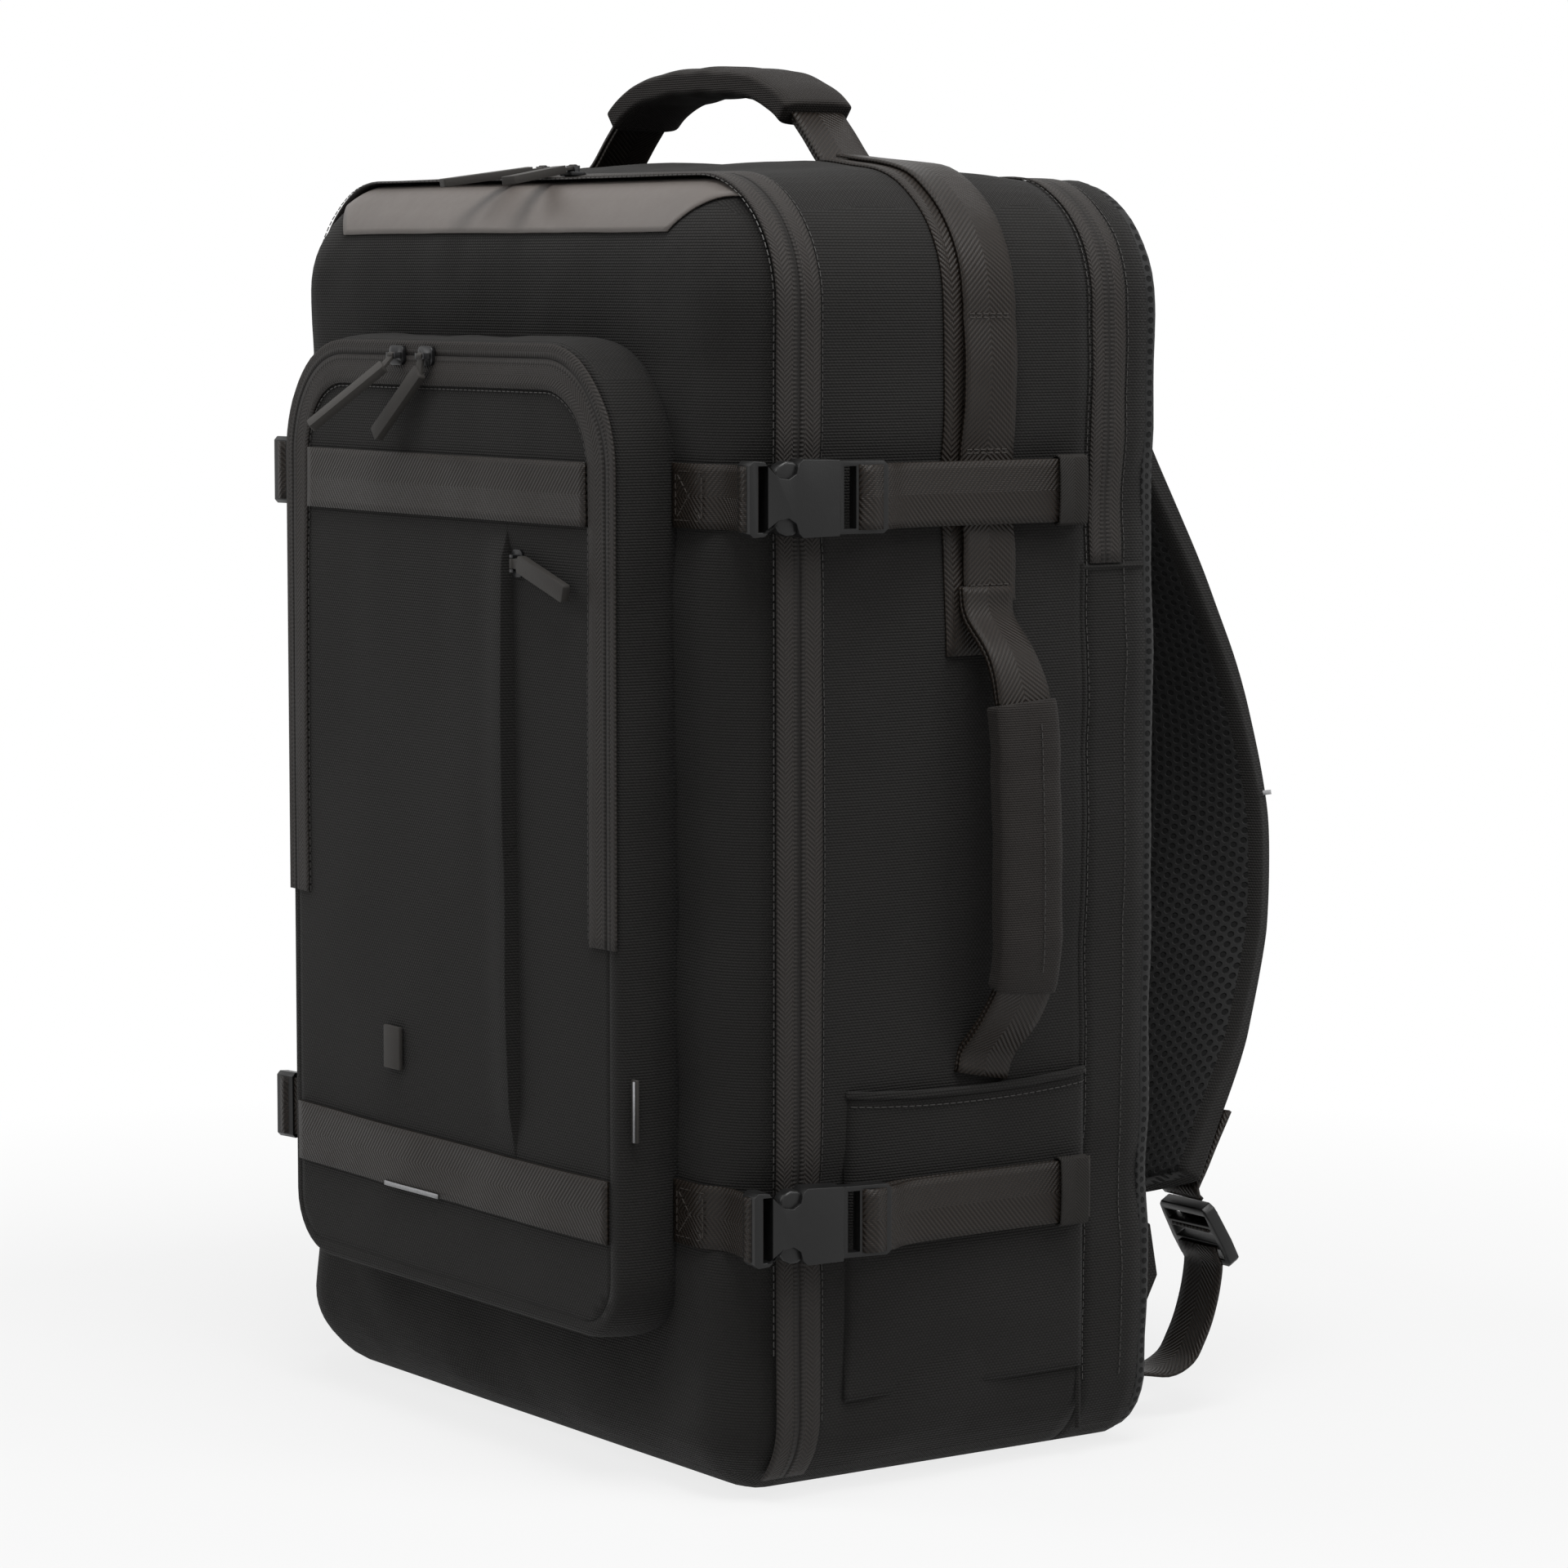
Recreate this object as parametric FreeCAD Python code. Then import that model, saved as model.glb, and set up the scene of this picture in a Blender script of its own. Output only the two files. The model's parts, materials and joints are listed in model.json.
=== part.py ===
import FreeCAD, Part
import math
import os

# Travel backpack, panel loading. Millimetres.
# X is the wearer's left to right seen from the front, Y runs to the wearer's back, Z is up.
# The origin is the middle of the bag's underside.

# Driving dimensions of the bag
bodyWidth = 348
bodyDepth = 204
bodyHeight = 516
fabricWall = 4
topCorner = 50
bottomCorner = 34
frontEdgeRadius = 30
zipFromFront = 31
foldHeight = 50
gap = 0.3

# Laptop compartment and back
laptopDepth = 30
backPanelThick = 8
dividerThick = 6
frameSheetThick = 1.5
frameSheetMargin = 24
laptopTapeWidth = 16
laptopTapeFromSeam = 2
laptopZipEnd = 363

# Front pocket
pocketDepth = 26.5
pocketSideMargin = 45
pocketBottom = 60
pocketTop = 452
pocketCorner = 50
pocketLowCorner = 26
pocketWall = 3
pocketEdgeRadius = 4
flapMargin = 7
flapHinge = 212
innerTapeWidth = 12
pocketTapeThick = 1

# Zips
tapeWidth = 20
tapeThick = 1.2
rearTapeEnd = 30
sliderLength = 11
sliderWidth = 8
sliderPlate = 1.6
sliderBarRadius = 0.6
knuckleRadius = 1.4
mainSliderX = -4
pocketSliderX = -21
sliderSpacing = 23
slitX = 58
slitSliderZ = 364
laptopSliderX = 30
pullLength = 45
pullWidth = 7
pullThick = 3.2
pullNeck = 7
pullNeckWidth = 4

# Webbing and buckles
webbing = 25
webbingThick = 1.6
strapHeights = (112.6, 393)
buckleMouth = -65
buckleTilt = 9
socketLength = 38
socketThick = 12
socketCavity = 5.4
socketBar = 3.5
lockLength = 22
lockThick = 5
prongThick = 4.6
prongArm = 3
prongLength = 24
prongHead = 8.5
keeperWidth = 14
keeperFrom = 44
elasticThick = 1

# Handles
gripThick = 12
gripWidth = 32
topHandleInset = 80
topHandleRise = 42
topGripHalf = 56
handleY = 10
handleStandOff = 24
sideGripLow = 197
sideGripHigh = 315
sideTackHigh = 353

# Side pockets
sidePocketTop = 161
sidePocketGap = 4.6
sidePocketWall = 1.5
sidePocketFront = -54

# Shoulder straps
strapThick = 13
strapWidth = 62
strapEndWidth = 40
sternumWebbing = 20
sternumHeight = 185
sternumHalf = 17
sternumThick = 8

# Back pads: height of each one's lower and upper edge, then its thickness
padEdge = 22
padMiddleGap = 22
basePadEdge = 46
padCorner = 16
upperPad = (292, 447, 9)
lowerPad = (130, 250, 13)
basePad = (62, 124, 7)

# Ladder locks at the straps' lower ends, drawn flat and then leaned to the strap's line
lockCentre = (130, 162, 76)
lockLean = 30
ladderWidth = 34
ladderLength = 30
ladderThick = 5
ladderSlots = ((-11.5, -6.5), (-3, 2), (6, 11))
ladderSlotHalf = 13.2
ladderLip = 3

# Small marks
badgeX = (-42, -29)
badgeZ = (150, 168)
badgeThick = 2

# Values that follow
halfWidth = bodyWidth / 2
pocketHalfWidth = halfWidth - pocketSideMargin
topHandleHalf = halfWidth - topHandleInset
topHandleTop = bodyHeight + topHandleRise
socketHalfHeight = webbing / 2 + 2.5
lockHalfHeight = webbing / 2 + 1.5
slotHalf = webbing / 2 + 0.5
prongInner = webbing / 2 - 5
prongOuter = webbing / 2 + 0.7
frontY = -bodyDepth / 2
backY = bodyDepth / 2
zipY = frontY + zipFromFront
seamY = backY - backPanelThick - laptopDepth
pocketFrontY = frontY - pocketDepth
sideSkin = halfWidth + gap
tiltRoom = (buckleMouth - zipY + tapeWidth / 2) * math.sin(math.radians(buckleTilt))
webbingBaseHigh = gap + tapeThick + gap + tiltRoom
webbingBaseLow = sidePocketGap + sidePocketWall + gap + elasticThick

# The right shoulder strap's line: each station is a centre, a lean to the wearer and a width.
strapStations = [
    ((62, backY + gap + strapThick / 2, 492), 0, strapWidth),
    ((65, 133, 445), 8, strapWidth),
    ((68, 157, 390), 15, strapWidth),
    ((73, 178, 340), 21, strapWidth),
    ((78, 194, 290), 25, strapWidth),
    ((85, 199, 243), 27, strapWidth),
    ((94, 192, 197), 26, strapWidth - 2),
    ((106, 176, 155), 20, (strapWidth + strapEndWidth) / 2 + 3),
    ((119, 157, 120), 6, strapEndWidth + 6),
    ((128, 143, 98), 0, strapEndWidth),
]


def vec(x, y, z):
    return FreeCAD.Vector(x, y, z)


def block(x0, x1, y0, y1, z0, z1):
    return Part.makeBox(x1 - x0, y1 - y0, z1 - z0, vec(x0, y0, z0))


def join(pieces):
    whole = pieces[0]
    for piece in pieces[1:]:
        whole = whole.fuse(piece)
    return whole.removeSplitter()


def mirrored(shape):
    return shape.mirror(vec(0, 0, 0), vec(1, 0, 0))


def bothSides(shape):
    return Part.makeCompound([shape, mirrored(shape)])


def save(name, shape):
    os.makedirs("parts", exist_ok=True)
    shape.exportStep("parts/" + name + ".step")
    print(name, len(shape.Solids), round(shape.Volume / 1000, 1), "cm3")


def outline(half, low, high, lowRadius, highRadius, y):
    """A rounded rectangle in the XZ plane at depth y."""
    def arc(cx, cz, radius, start):
        points = [start, start + 45, start + 90]
        places = [vec(cx + radius * math.cos(math.radians(a)), y,
                      cz + radius * math.sin(math.radians(a))) for a in points]
        return Part.Arc(*places).toShape()
    edges = [
        Part.makeLine(vec(half, y, low + lowRadius), vec(half, y, high - highRadius)),
        arc(half - highRadius, high - highRadius, highRadius, 0),
        Part.makeLine(vec(half - highRadius, y, high), vec(highRadius - half, y, high)),
        arc(highRadius - half, high - highRadius, highRadius, 90),
        Part.makeLine(vec(-half, y, high - highRadius), vec(-half, y, low + lowRadius)),
        arc(lowRadius - half, low + lowRadius, lowRadius, 180),
        Part.makeLine(vec(lowRadius - half, y, low), vec(half - lowRadius, y, low)),
        arc(half - lowRadius, low + lowRadius, lowRadius, 270),
    ]
    return Part.Wire(edges)


def slab(half, low, high, lowRadius, highRadius, y0, y1):
    face = Part.Face(outline(half, low, high, lowRadius, highRadius, y0))
    return face.extrude(vec(0, y1 - y0, 0))


def bodySlab(inset, y0, y1):
    """The bag's outline, drawn in by an inset, between two depths."""
    return slab(halfWidth - inset, inset, bodyHeight - inset,
                bottomCorner - inset, topCorner - inset, y0, y1)


def roundedFront(shape, y, radius):
    """Rounds the edges that lie in the plane at depth y."""
    edges = [e for e in shape.Edges if all(abs(v.Y - y) < 1e-6 for v in e.Vertexes)]
    return shape.makeFillet(radius, edges)


def bodyRing(outer, inner, y0, y1, low):
    """A band that follows the bag's outline above a height."""
    ring = bodySlab(-outer, y0, y1).cut(bodySlab(-inner, y0 - 1, y1 + 1))
    high = bodyHeight + outer + 1
    return ring.common(block(-bodyWidth, bodyWidth, y0, y1, low, high))


def band(points, thickness, place, push):
    """A strip of even thickness along a smooth line of 2-D points, extruded by push.

    place turns a 2-D point into a vector.
    """
    curve = Part.BSplineCurve()
    curve.interpolate([vec(a, b, 0) for a, b in points])
    first, last = curve.FirstParameter, curve.LastParameter
    count = 6 * len(points)
    sides = ([], [])
    for i in range(count + 1):
        at = first + (last - first) * i / count
        centre = curve.value(at)
        along = curve.tangent(at)[0]
        across = vec(-along.y, along.x, 0).normalize()
        for side, sign in zip(sides, (0.5, -0.5)):
            point = centre + across * (thickness * sign)
            side.append(place(point.x, point.y))
    edges = []
    for side in sides:
        line = Part.BSplineCurve()
        line.interpolate(side)
        edges.append(line.toShape())
    caps = [Part.makeLine(sides[0][i], sides[1][i]) for i in (0, -1)]
    wire = Part.Wire(Part.__sortEdges__(edges + caps))
    return Part.Face(wire).extrude(push)


# Main bag

def mainBlock(inset, rear):
    shape = bodySlab(inset, frontY + inset, rear)
    return roundedFront(shape, frontY + inset, frontEdgeRadius - inset)


def makeShells():
    whole = mainBlock(0, seamY).cut(mainBlock(fabricWall, seamY + 1))
    lift = block(-bodyWidth, bodyWidth, frontY - 1, zipY - gap / 2,
                 foldHeight + gap / 2, bodyHeight + 1)
    cut = block(-bodyWidth, bodyWidth, frontY - 1, zipY + gap / 2,
                foldHeight - gap / 2, bodyHeight + 1)
    save("main_shell", whole.cut(cut))
    save("front_shell", whole.common(lift))


def makeRear():
    inset = fabricWall + gap
    front = seamY - dividerThick
    save("divider_panel", bodySlab(inset, front, seamY))
    rear = backY - backPanelThick - gap
    gusset = bodySlab(0, seamY + gap, rear).cut(bodySlab(fabricWall, seamY, rear + 1))
    save("rear_gusset", gusset)
    panel = roundedFront(bodySlab(1, backY - backPanelThick, backY), backY, 3)
    save("back_panel", panel)
    sheetHalf = halfWidth - frameSheetMargin
    sheet = slab(sheetHalf, frameSheetMargin, bodyHeight - frameSheetMargin, 20, 30,
                 backY - backPanelThick - gap - frameSheetThick, backY - backPanelThick - gap)
    save("frame_sheet", sheet)


def cushion(x0, x1, pad):
    low, high, thickness = pad
    shape = block(x0, x1, backY + gap, backY + gap + thickness, low, high)
    corners = [e for e in shape.Edges if abs(e.Vertexes[0].Y - e.Vertexes[-1].Y) > 1]
    shape = shape.makeFillet(padCorner, corners)
    return roundedFront(shape, backY + gap + thickness, thickness * 0.45)


def makeBackPads():
    upper = cushion(padMiddleGap, halfWidth - padEdge, upperPad)
    lower = cushion(padMiddleGap, halfWidth - padEdge, lowerPad)
    base = cushion(basePadEdge - halfWidth, halfWidth - basePadEdge, basePad)
    save("back_pads", Part.makeCompound([upper, mirrored(upper), lower, mirrored(lower), base]))


# Zips

def makeTapes():
    half = tapeWidth / 2
    outer = gap + tapeThick
    rear = bodyRing(outer, gap, zipY + gap / 2, zipY + half, rearTapeEnd)
    frontLow = bodyRing(outer, gap, zipY - half, zipY - gap / 2, rearTapeEnd)
    below = block(-bodyWidth, bodyWidth, frontY, backY, 0, foldHeight - gap / 2)
    above = block(-bodyWidth, bodyWidth, frontY, backY, foldHeight + gap / 2, 2 * bodyHeight)
    save("main_zip_tape_rear", Part.makeCompound(rear.Solids + frontLow.common(below).Solids))
    save("main_zip_tape_front", frontLow.common(above))
    start = seamY + gap + laptopTapeFromSeam
    save("laptop_zip_tape", bodyRing(outer, gap, start, start + laptopTapeWidth, laptopZipEnd))


sliderBarHeight = sliderPlate + gap + knuckleRadius


def makeSlider():
    """A slider lying on its zip: Z is away from the tape, X along it, centred on the tape."""
    plate = block(-sliderLength / 2, sliderLength / 2, -sliderWidth / 2, sliderWidth / 2,
                  0, sliderPlate)
    corners = [e for e in plate.Edges if abs(e.Vertexes[0].Z - e.Vertexes[-1].Z) > 1]
    plate = plate.makeFillet(2.5, corners)
    top = sliderBarHeight + sliderBarRadius + 0.3
    outer = pullNeckWidth / 2 + 1.5
    legs = [block(x, x + 1.2, -1.2, 1.2, 0, top) for x in (-outer, outer - 1.2)]
    bar = Part.makeCylinder(sliderBarRadius, 2 * outer - 0.6, vec(0.3 - outer, 0, sliderBarHeight),
                            vec(1, 0, 0))
    return join([plate, bar] + legs)


def makePull(yaw, lean):
    """A puller on the slider's bar, lying along +Y, its grip turned by yaw about Z.

    lean swings the whole puller down about the bar.
    """
    half = pullNeckWidth / 2
    start = vec(-half, 0, sliderBarHeight)
    knuckle = Part.makeCylinder(knuckleRadius, 2 * half, start, vec(1, 0, 0))
    bore = Part.makeCylinder(sliderBarRadius + gap, 2 * half + 2, start - vec(1, 0, 0),
                             vec(1, 0, 0))
    neck = block(-half, half, 0, pullNeck + 1, sliderBarHeight - 0.6, sliderBarHeight + 0.6)
    low = sliderBarHeight - pullThick / 2
    grip = block(-pullWidth / 2, pullWidth / 2, pullNeck - 1, pullLength, low, low + pullThick)
    edges = [e for e in grip.Edges if abs(e.Vertexes[0].Z - e.Vertexes[-1].Z) > 1]
    grip = grip.makeFillet(1.2, edges)
    grip.rotate(vec(0, pullNeck, 0), vec(0, 0, 1), yaw)
    pull = join([knuckle, neck, grip]).cut(bore)
    pull.rotate(vec(0, 0, sliderBarHeight), vec(1, 0, 0), -lean)
    return pull


def placed(shape, centre, along, out):
    """Turns a slider or puller so that its X runs along and its Z points out."""
    x = vec(*along)
    z = vec(*out)
    y = z.cross(x)
    matrix = FreeCAD.Matrix(x.x, y.x, z.x, centre[0],
                            x.y, y.y, z.y, centre[1],
                            x.z, y.z, z.z, centre[2],
                            0, 0, 0, 1)
    return shape.transformGeometry(matrix)


def makeSliders():
    tape = bodyHeight + 2 * gap + tapeThick
    pocketTape = pocketFrontY - 2 * gap - pocketTapeThick
    pocketZ = pocketTop - flapMargin
    rearTape = seamY + gap + laptopTapeFromSeam + laptopTapeWidth / 2
    apart = sliderSpacing / 2
    sites = {
        "main_right": ((mainSliderX + apart, zipY, tape), (-1, 0, 0), (0, 0, 1), 25, 8),
        "main_left": ((mainSliderX - apart, zipY, tape), (-1, 0, 0), (0, 0, 1), -12, 8),
        "pocket_right": ((pocketSliderX + apart, pocketTape, pocketZ), (-1, 0, 0), (0, -1, 0),
                         -47, -9),
        "pocket_left": ((pocketSliderX - apart, pocketTape, pocketZ), (-1, 0, 0), (0, -1, 0),
                        -27, -45),
        "slit": ((slitX, pocketFrontY - gap, slitSliderZ), (0, 0, -1), (0, -1, 0), -15, -4),
        "laptop": ((laptopSliderX, rearTape, tape), (-1, 0, 0), (0, 0, 1), 0, 0),
    }
    for name, (centre, along, out, yaw, lean) in sites.items():
        save(name + "_slider", placed(makeSlider(), centre, along, out))
        save(name + "_pull", placed(makePull(yaw, lean), centre, along, out))


# Front pocket and its flap

def pocketSlab(inset, y0, y1):
    return slab(pocketHalfWidth - inset, pocketBottom + inset, pocketTop - inset,
                pocketLowCorner - inset, pocketCorner - inset, y0, y1)


def makePocket():
    back = frontY - gap
    outer = roundedFront(pocketSlab(0, pocketFrontY, back), pocketFrontY, pocketEdgeRadius)
    shell = outer.cut(pocketSlab(pocketWall, pocketFrontY + pocketWall, back + 1))
    aboveHinge = block(-bodyWidth, bodyWidth, pocketFrontY - 9, frontY, flapHinge, bodyHeight)
    opening = pocketSlab(flapMargin - gap, pocketFrontY - 1, pocketFrontY + pocketWall + 0.1)
    save("pocket_shell", shell.cut(opening.common(aboveHinge)))
    aboveFold = aboveHinge.common(block(-bodyWidth, bodyWidth, pocketFrontY - 9, frontY,
                                        flapHinge + gap, bodyHeight))
    flap = pocketSlab(flapMargin, pocketFrontY, pocketFrontY + pocketWall)
    save("pocket_flap", flap.common(aboveFold))
    tapeBack = pocketFrontY - gap
    tapeFront = tapeBack - pocketTapeThick
    aboveTape = block(-bodyWidth, bodyWidth, pocketFrontY - 9, frontY,
                      flapHinge + 4, bodyHeight)
    outerTape = pocketSlab(1, tapeFront, tapeBack).cut(
        pocketSlab(flapMargin - gap / 2, tapeFront - 1, tapeBack + 1))
    innerTape = pocketSlab(flapMargin + gap / 2, tapeFront, tapeBack).cut(
        pocketSlab(flapMargin + innerTapeWidth, tapeFront - 1, tapeBack + 1))
    save("pocket_zip_tape", outerTape.common(aboveTape))
    save("flap_zip_tape", innerTape.common(aboveTape))


def pocketStrap(height, half):
    low = height - webbing / 2
    front = pocketFrontY - gap - webbingThick
    return block(-half, half, front, front + webbingThick, low, low + webbing)


def makeCoatedPanel():
    centreY = frontY + frontEdgeRadius
    centreZ = bodyHeight - frontEdgeRadius
    inner = frontEdgeRadius + gap
    outer = inner + 1
    axis = vec(1, 0, 0)
    half = halfWidth - topCorner - 4
    start = vec(-half, centreY, centreZ)
    ring = Part.makeCylinder(outer, 2 * half, start, axis).cut(
        Part.makeCylinder(inner, 2 * half, start, axis))
    window = block(-half, half, frontY - 3, zipY - tapeWidth / 2 - gap, centreZ + 6, bodyHeight + 3)
    save("coated_panel", ring.common(window))


def makeBadge():
    front = pocketFrontY - gap - badgeThick
    left, right = badgeX
    low, top = badgeZ
    save("badge", block(left, right, front, front + badgeThick, low, top))


# Buckles. The right-hand ones are made about the mouth, then the left-hand ones are mirrored.

def socket(height, base):
    x0 = halfWidth + base
    x1 = x0 + socketThick
    middle = (x0 + x1) / 2
    rear = buckleMouth - gap
    front = rear - socketLength
    low, high = height - socketHalfHeight, height + socketHalfHeight
    body = block(x0, x1, front, rear, low, high)
    edges = [e for e in body.Edges if abs(e.Vertexes[0].X - e.Vertexes[-1].X) > 1]
    body = body.makeFillet(3, edges)
    neck = front + 9.5
    half = socketCavity / 2
    thin = [block(x0 - 1, middle - half, front - 1, neck, low - 1, high + 1),
            block(middle + half, x1 + 1, front - 1, neck, low - 1, high + 1)]
    slot = block(x0 - 1, x1 + 1, front + socketBar, front + 8, height - slotHalf, height + slotHalf)
    cavity = block(middle - half, middle + half, neck + 2, rear + 1,
                   height - slotHalf + 1, height + slotHalf - 1)
    windows = [Part.makeCylinder(8, socketThick + 2, vec(x0 - 1, rear - 20, height + s * (slotHalf + 4.5)),
                                 vec(1, 0, 0)) for s in (-1, 1)]
    for tool in thin + [slot, cavity] + windows:
        body = body.cut(tool)
    return body


def plug(height, base):
    middle = halfWidth + base + socketThick / 2
    x0 = middle - lockThick / 2
    x1 = middle + lockThick / 2
    front = buckleMouth
    rear = front + lockLength
    frame = block(x0, x1, front, rear, height - lockHalfHeight, height + lockHalfHeight)
    edges = [e for e in frame.Edges if abs(e.Vertexes[0].X - e.Vertexes[-1].X) > 1]
    frame = frame.makeFillet(2, edges)
    for y0, y1 in ((front + 3, front + 8), (front + 12, front + 18.5)):
        frame = frame.cut(block(x0 - 1, x1 + 1, y0, y1, height - slotHalf + 0.2, height + slotHalf - 0.2))
    tongue = block(middle - 1.5, middle + 1.5, front - 10, front + 1, height - 2.5, height + 2.5)
    return join([frame, tongue])


def prong(height, base, sign):
    middle = halfWidth + base + socketThick / 2
    x0 = middle - prongThick / 2
    x1 = middle + prongThick / 2
    rear = buckleMouth - gap
    front = rear - prongLength
    low, high = sorted((height + sign * prongInner, height + sign * (prongInner + prongArm)))
    arm = block(x0, x1, front, rear, low, high)
    low, high = sorted((height + sign * prongInner, height + sign * prongOuter))
    head = block(x0, x1, front, front + prongHead, low, high)
    return join([arm, head])


def tilted(shape, base):
    """Leans a right-hand buckle round the bag's front corner about its mouth."""
    turned = shape.copy()
    turned.rotate(vec(halfWidth + base, buckleMouth, 0), vec(0, 0, 1), -buckleTilt)
    return turned


def rearWebbing(height, base, seat):
    """Runs from the seam to the lock, over its bar and back under it to the keeper."""
    low, high = height - webbing / 2, height + webbing / 2
    run = halfWidth + base + gap
    tail = run + webbingThick + gap
    over = halfWidth + base + socketThick / 2 + lockThick / 2 + gap + 3.2
    first = buckleMouth + 4.6
    second = buckleMouth + 13.4
    end = backY - backPanelThick - laptopDepth - 1
    pieces = [
        block(run, run + webbingThick, first, end, low, high),
        block(run, over + webbingThick, first, first + webbingThick, low, high),
        block(over, over + webbingThick, first, second + webbingThick, low, high),
        block(tail, over + webbingThick, second, second + webbingThick, low, high),
        block(tail, tail + webbingThick, second, keeperFrom + keeperWidth + 1, low, high),
        block(halfWidth + seat, run + webbingThick, end - webbingThick, end, low, high),
    ]
    return join(pieces)


def keeper(height, base):
    inner = halfWidth + base + gap
    x0 = inner - gap - elasticThick
    x1 = inner + 2 * webbingThick + 2 * gap
    low, high = height - webbing / 2 - gap, height + webbing / 2 + gap
    y0, y1 = keeperFrom, keeperFrom + keeperWidth
    outer = block(x0, x1 + elasticThick, y0, y1, low - elasticThick, high + elasticThick)
    return outer.cut(block(x0 + elasticThick, x1, y0 - 1, y1 + 1, low, high))


def frontWebbing(height, base):
    """From the pocket's side round the bag's corner to the socket's bar."""
    middle = halfWidth + base + socketThick / 2
    bar = socketCavity / 2 + gap
    front = buckleMouth - gap - socketLength
    outer = block(middle - bar - webbingThick, middle + bar + webbingThick,
                  front - gap - webbingThick, front + socketBar + gap + webbingThick,
                  height - webbing / 2, height + webbing / 2)
    hole = block(middle - bar, middle + bar, front - gap, front + socketBar + gap,
                 height - webbing, height + webbing)
    loop = tilted(outer.cut(hole), base)
    edge = loop.BoundBox
    start = pocketHalfWidth + gap
    surface = frontY - gap - webbingThick / 2
    route = [(start, surface), (start + 8, surface), (start + 16, surface - 0.3),
             ((start + 16 + edge.XMin + 3) / 2, (surface + edge.YMin) / 2),
             (edge.XMin + 3, edge.YMin + webbingThick)]
    strip = band(route, webbingThick, lambda a, b: vec(a, b, height - webbing / 2),
                 vec(0, 0, webbing))
    return join([strip, loop])


def makeBuckles():
    names = ("lower", "upper")
    bases = (webbingBaseLow, webbingBaseHigh)
    seats = (webbingBaseLow, gap)
    sockets, fronts, rears, keepers = [], [], [], []
    for name, height, base, seat in zip(names, strapHeights, bases, seats):
        right = tilted(socket(height, base), base)
        sockets += [right, mirrored(right)]
        strip = frontWebbing(height, base)
        fronts += [strip, mirrored(strip)]
        rear = rearWebbing(height, base, seat)
        rears += [rear, mirrored(rear)]
        loop = keeper(height, base)
        keepers += [loop, mirrored(loop)]
        male = tilted(plug(height, base), base)
        save(name + "_right_plug", male)
        save(name + "_left_plug", mirrored(male))
        for end, sign in (("top", 1), ("bottom", -1)):
            arm = tilted(prong(height, base, sign), base)
            save(name + "_right_prong_" + end, arm)
            save(name + "_left_prong_" + end, mirrored(arm))
    save("side_buckle_sockets", Part.makeCompound(sockets))
    lowStrap = pocketStrap(strapHeights[0], pocketHalfWidth - pocketEdgeRadius)
    save("compression_webbing_front", Part.makeCompound(fronts + [lowStrap]))
    save("compression_webbing_rear", Part.makeCompound(rears))
    save("strap_keepers", Part.makeCompound(keepers))
    flapHalf = pocketHalfWidth - flapMargin - innerTapeWidth - 2
    save("flap_webbing", pocketStrap(strapHeights[1], flapHalf))


# Handles

def topHandleRoute():
    rise = topHandleTop - bodyHeight
    low = bodyHeight + gap + webbingThick / 2
    half = topHandleHalf
    right = [(half, low), (half * 0.9, low + 0.12 * rise), (half * 0.76, low + 0.42 * rise),
             (half * 0.6, low + 0.74 * rise), (half * 0.36, low + 0.93 * rise)]
    return [(-x, z) for x, z in right] + [(0, topHandleTop)] + right[::-1]


def inXz(y):
    return lambda a, b: vec(a, y, b)


def makeTopHandle():
    half = webbing / 2
    route = topHandleRoute()
    strip = band(route, webbingThick, inXz(handleY - half), vec(0, webbing, 0))
    save("top_handle_webbing", strip)
    room = webbingThick + 2 * gap
    window = block(-topGripHalf, topGripHalf, -bodyDepth, bodyDepth, 0, 2 * bodyHeight)
    thick = band(route, gripThick, inXz(handleY - gripWidth / 2), vec(0, gripWidth, 0))
    hollow = band(route, room, inXz(handleY - half - gap), vec(0, webbing + 2 * gap, 0))
    save("top_handle_grip", thick.common(window).cut(hollow))


def makeSideHandles():
    half = webbing / 2
    skin = halfWidth + gap + webbingThick / 2
    top = bodyHeight + gap + webbingThick / 2
    centre = topCorner + gap + webbingThick / 2
    corner = [(halfWidth - topCorner + centre * math.cos(math.radians(a)),
               bodyHeight - topCorner + centre * math.sin(math.radians(a)))
              for a in (90, 75, 60, 45, 30, 15, 0)]
    start = topHandleHalf + 4
    daisy = [(start, top), ((start + corner[0][0]) / 2, top)] + corner
    daisy += [(skin, z) for z in (440, 415, 390, sideTackHigh)]
    lower = band(daisy, webbingThick, inXz(handleY - half), vec(0, webbing, 0))
    out = skin + handleStandOff
    layer = skin + webbingThick + gap
    loop = [(layer, sideTackHigh), (layer + 1, sideTackHigh - 12), (out - 5, sideGripHigh + 10),
            (out, sideGripHigh - 10), (out, 275), (out, 235), (out, sideGripLow + 10),
            (out - 5, sideGripLow - 8), (skin + 2, sidePocketTop + 12),
            (skin, sidePocketTop + 3)]
    outer = band(loop, webbingThick, inXz(handleY - half), vec(0, webbing, 0))
    save("side_handle_webbing", Part.makeCompound([lower, mirrored(lower), outer, mirrored(outer)]))
    window = block(0, 2 * halfWidth, -bodyDepth, bodyDepth, sideGripLow, sideGripHigh)
    thick = band(loop, gripThick, inXz(handleY - gripWidth / 2), vec(0, gripWidth, 0))
    room = webbingThick + 2 * gap
    hollow = band(loop, room, inXz(handleY - half - gap), vec(0, webbing + 2 * gap, 0))
    save("side_handle_grips", bothSides(thick.common(window).cut(hollow)))


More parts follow.
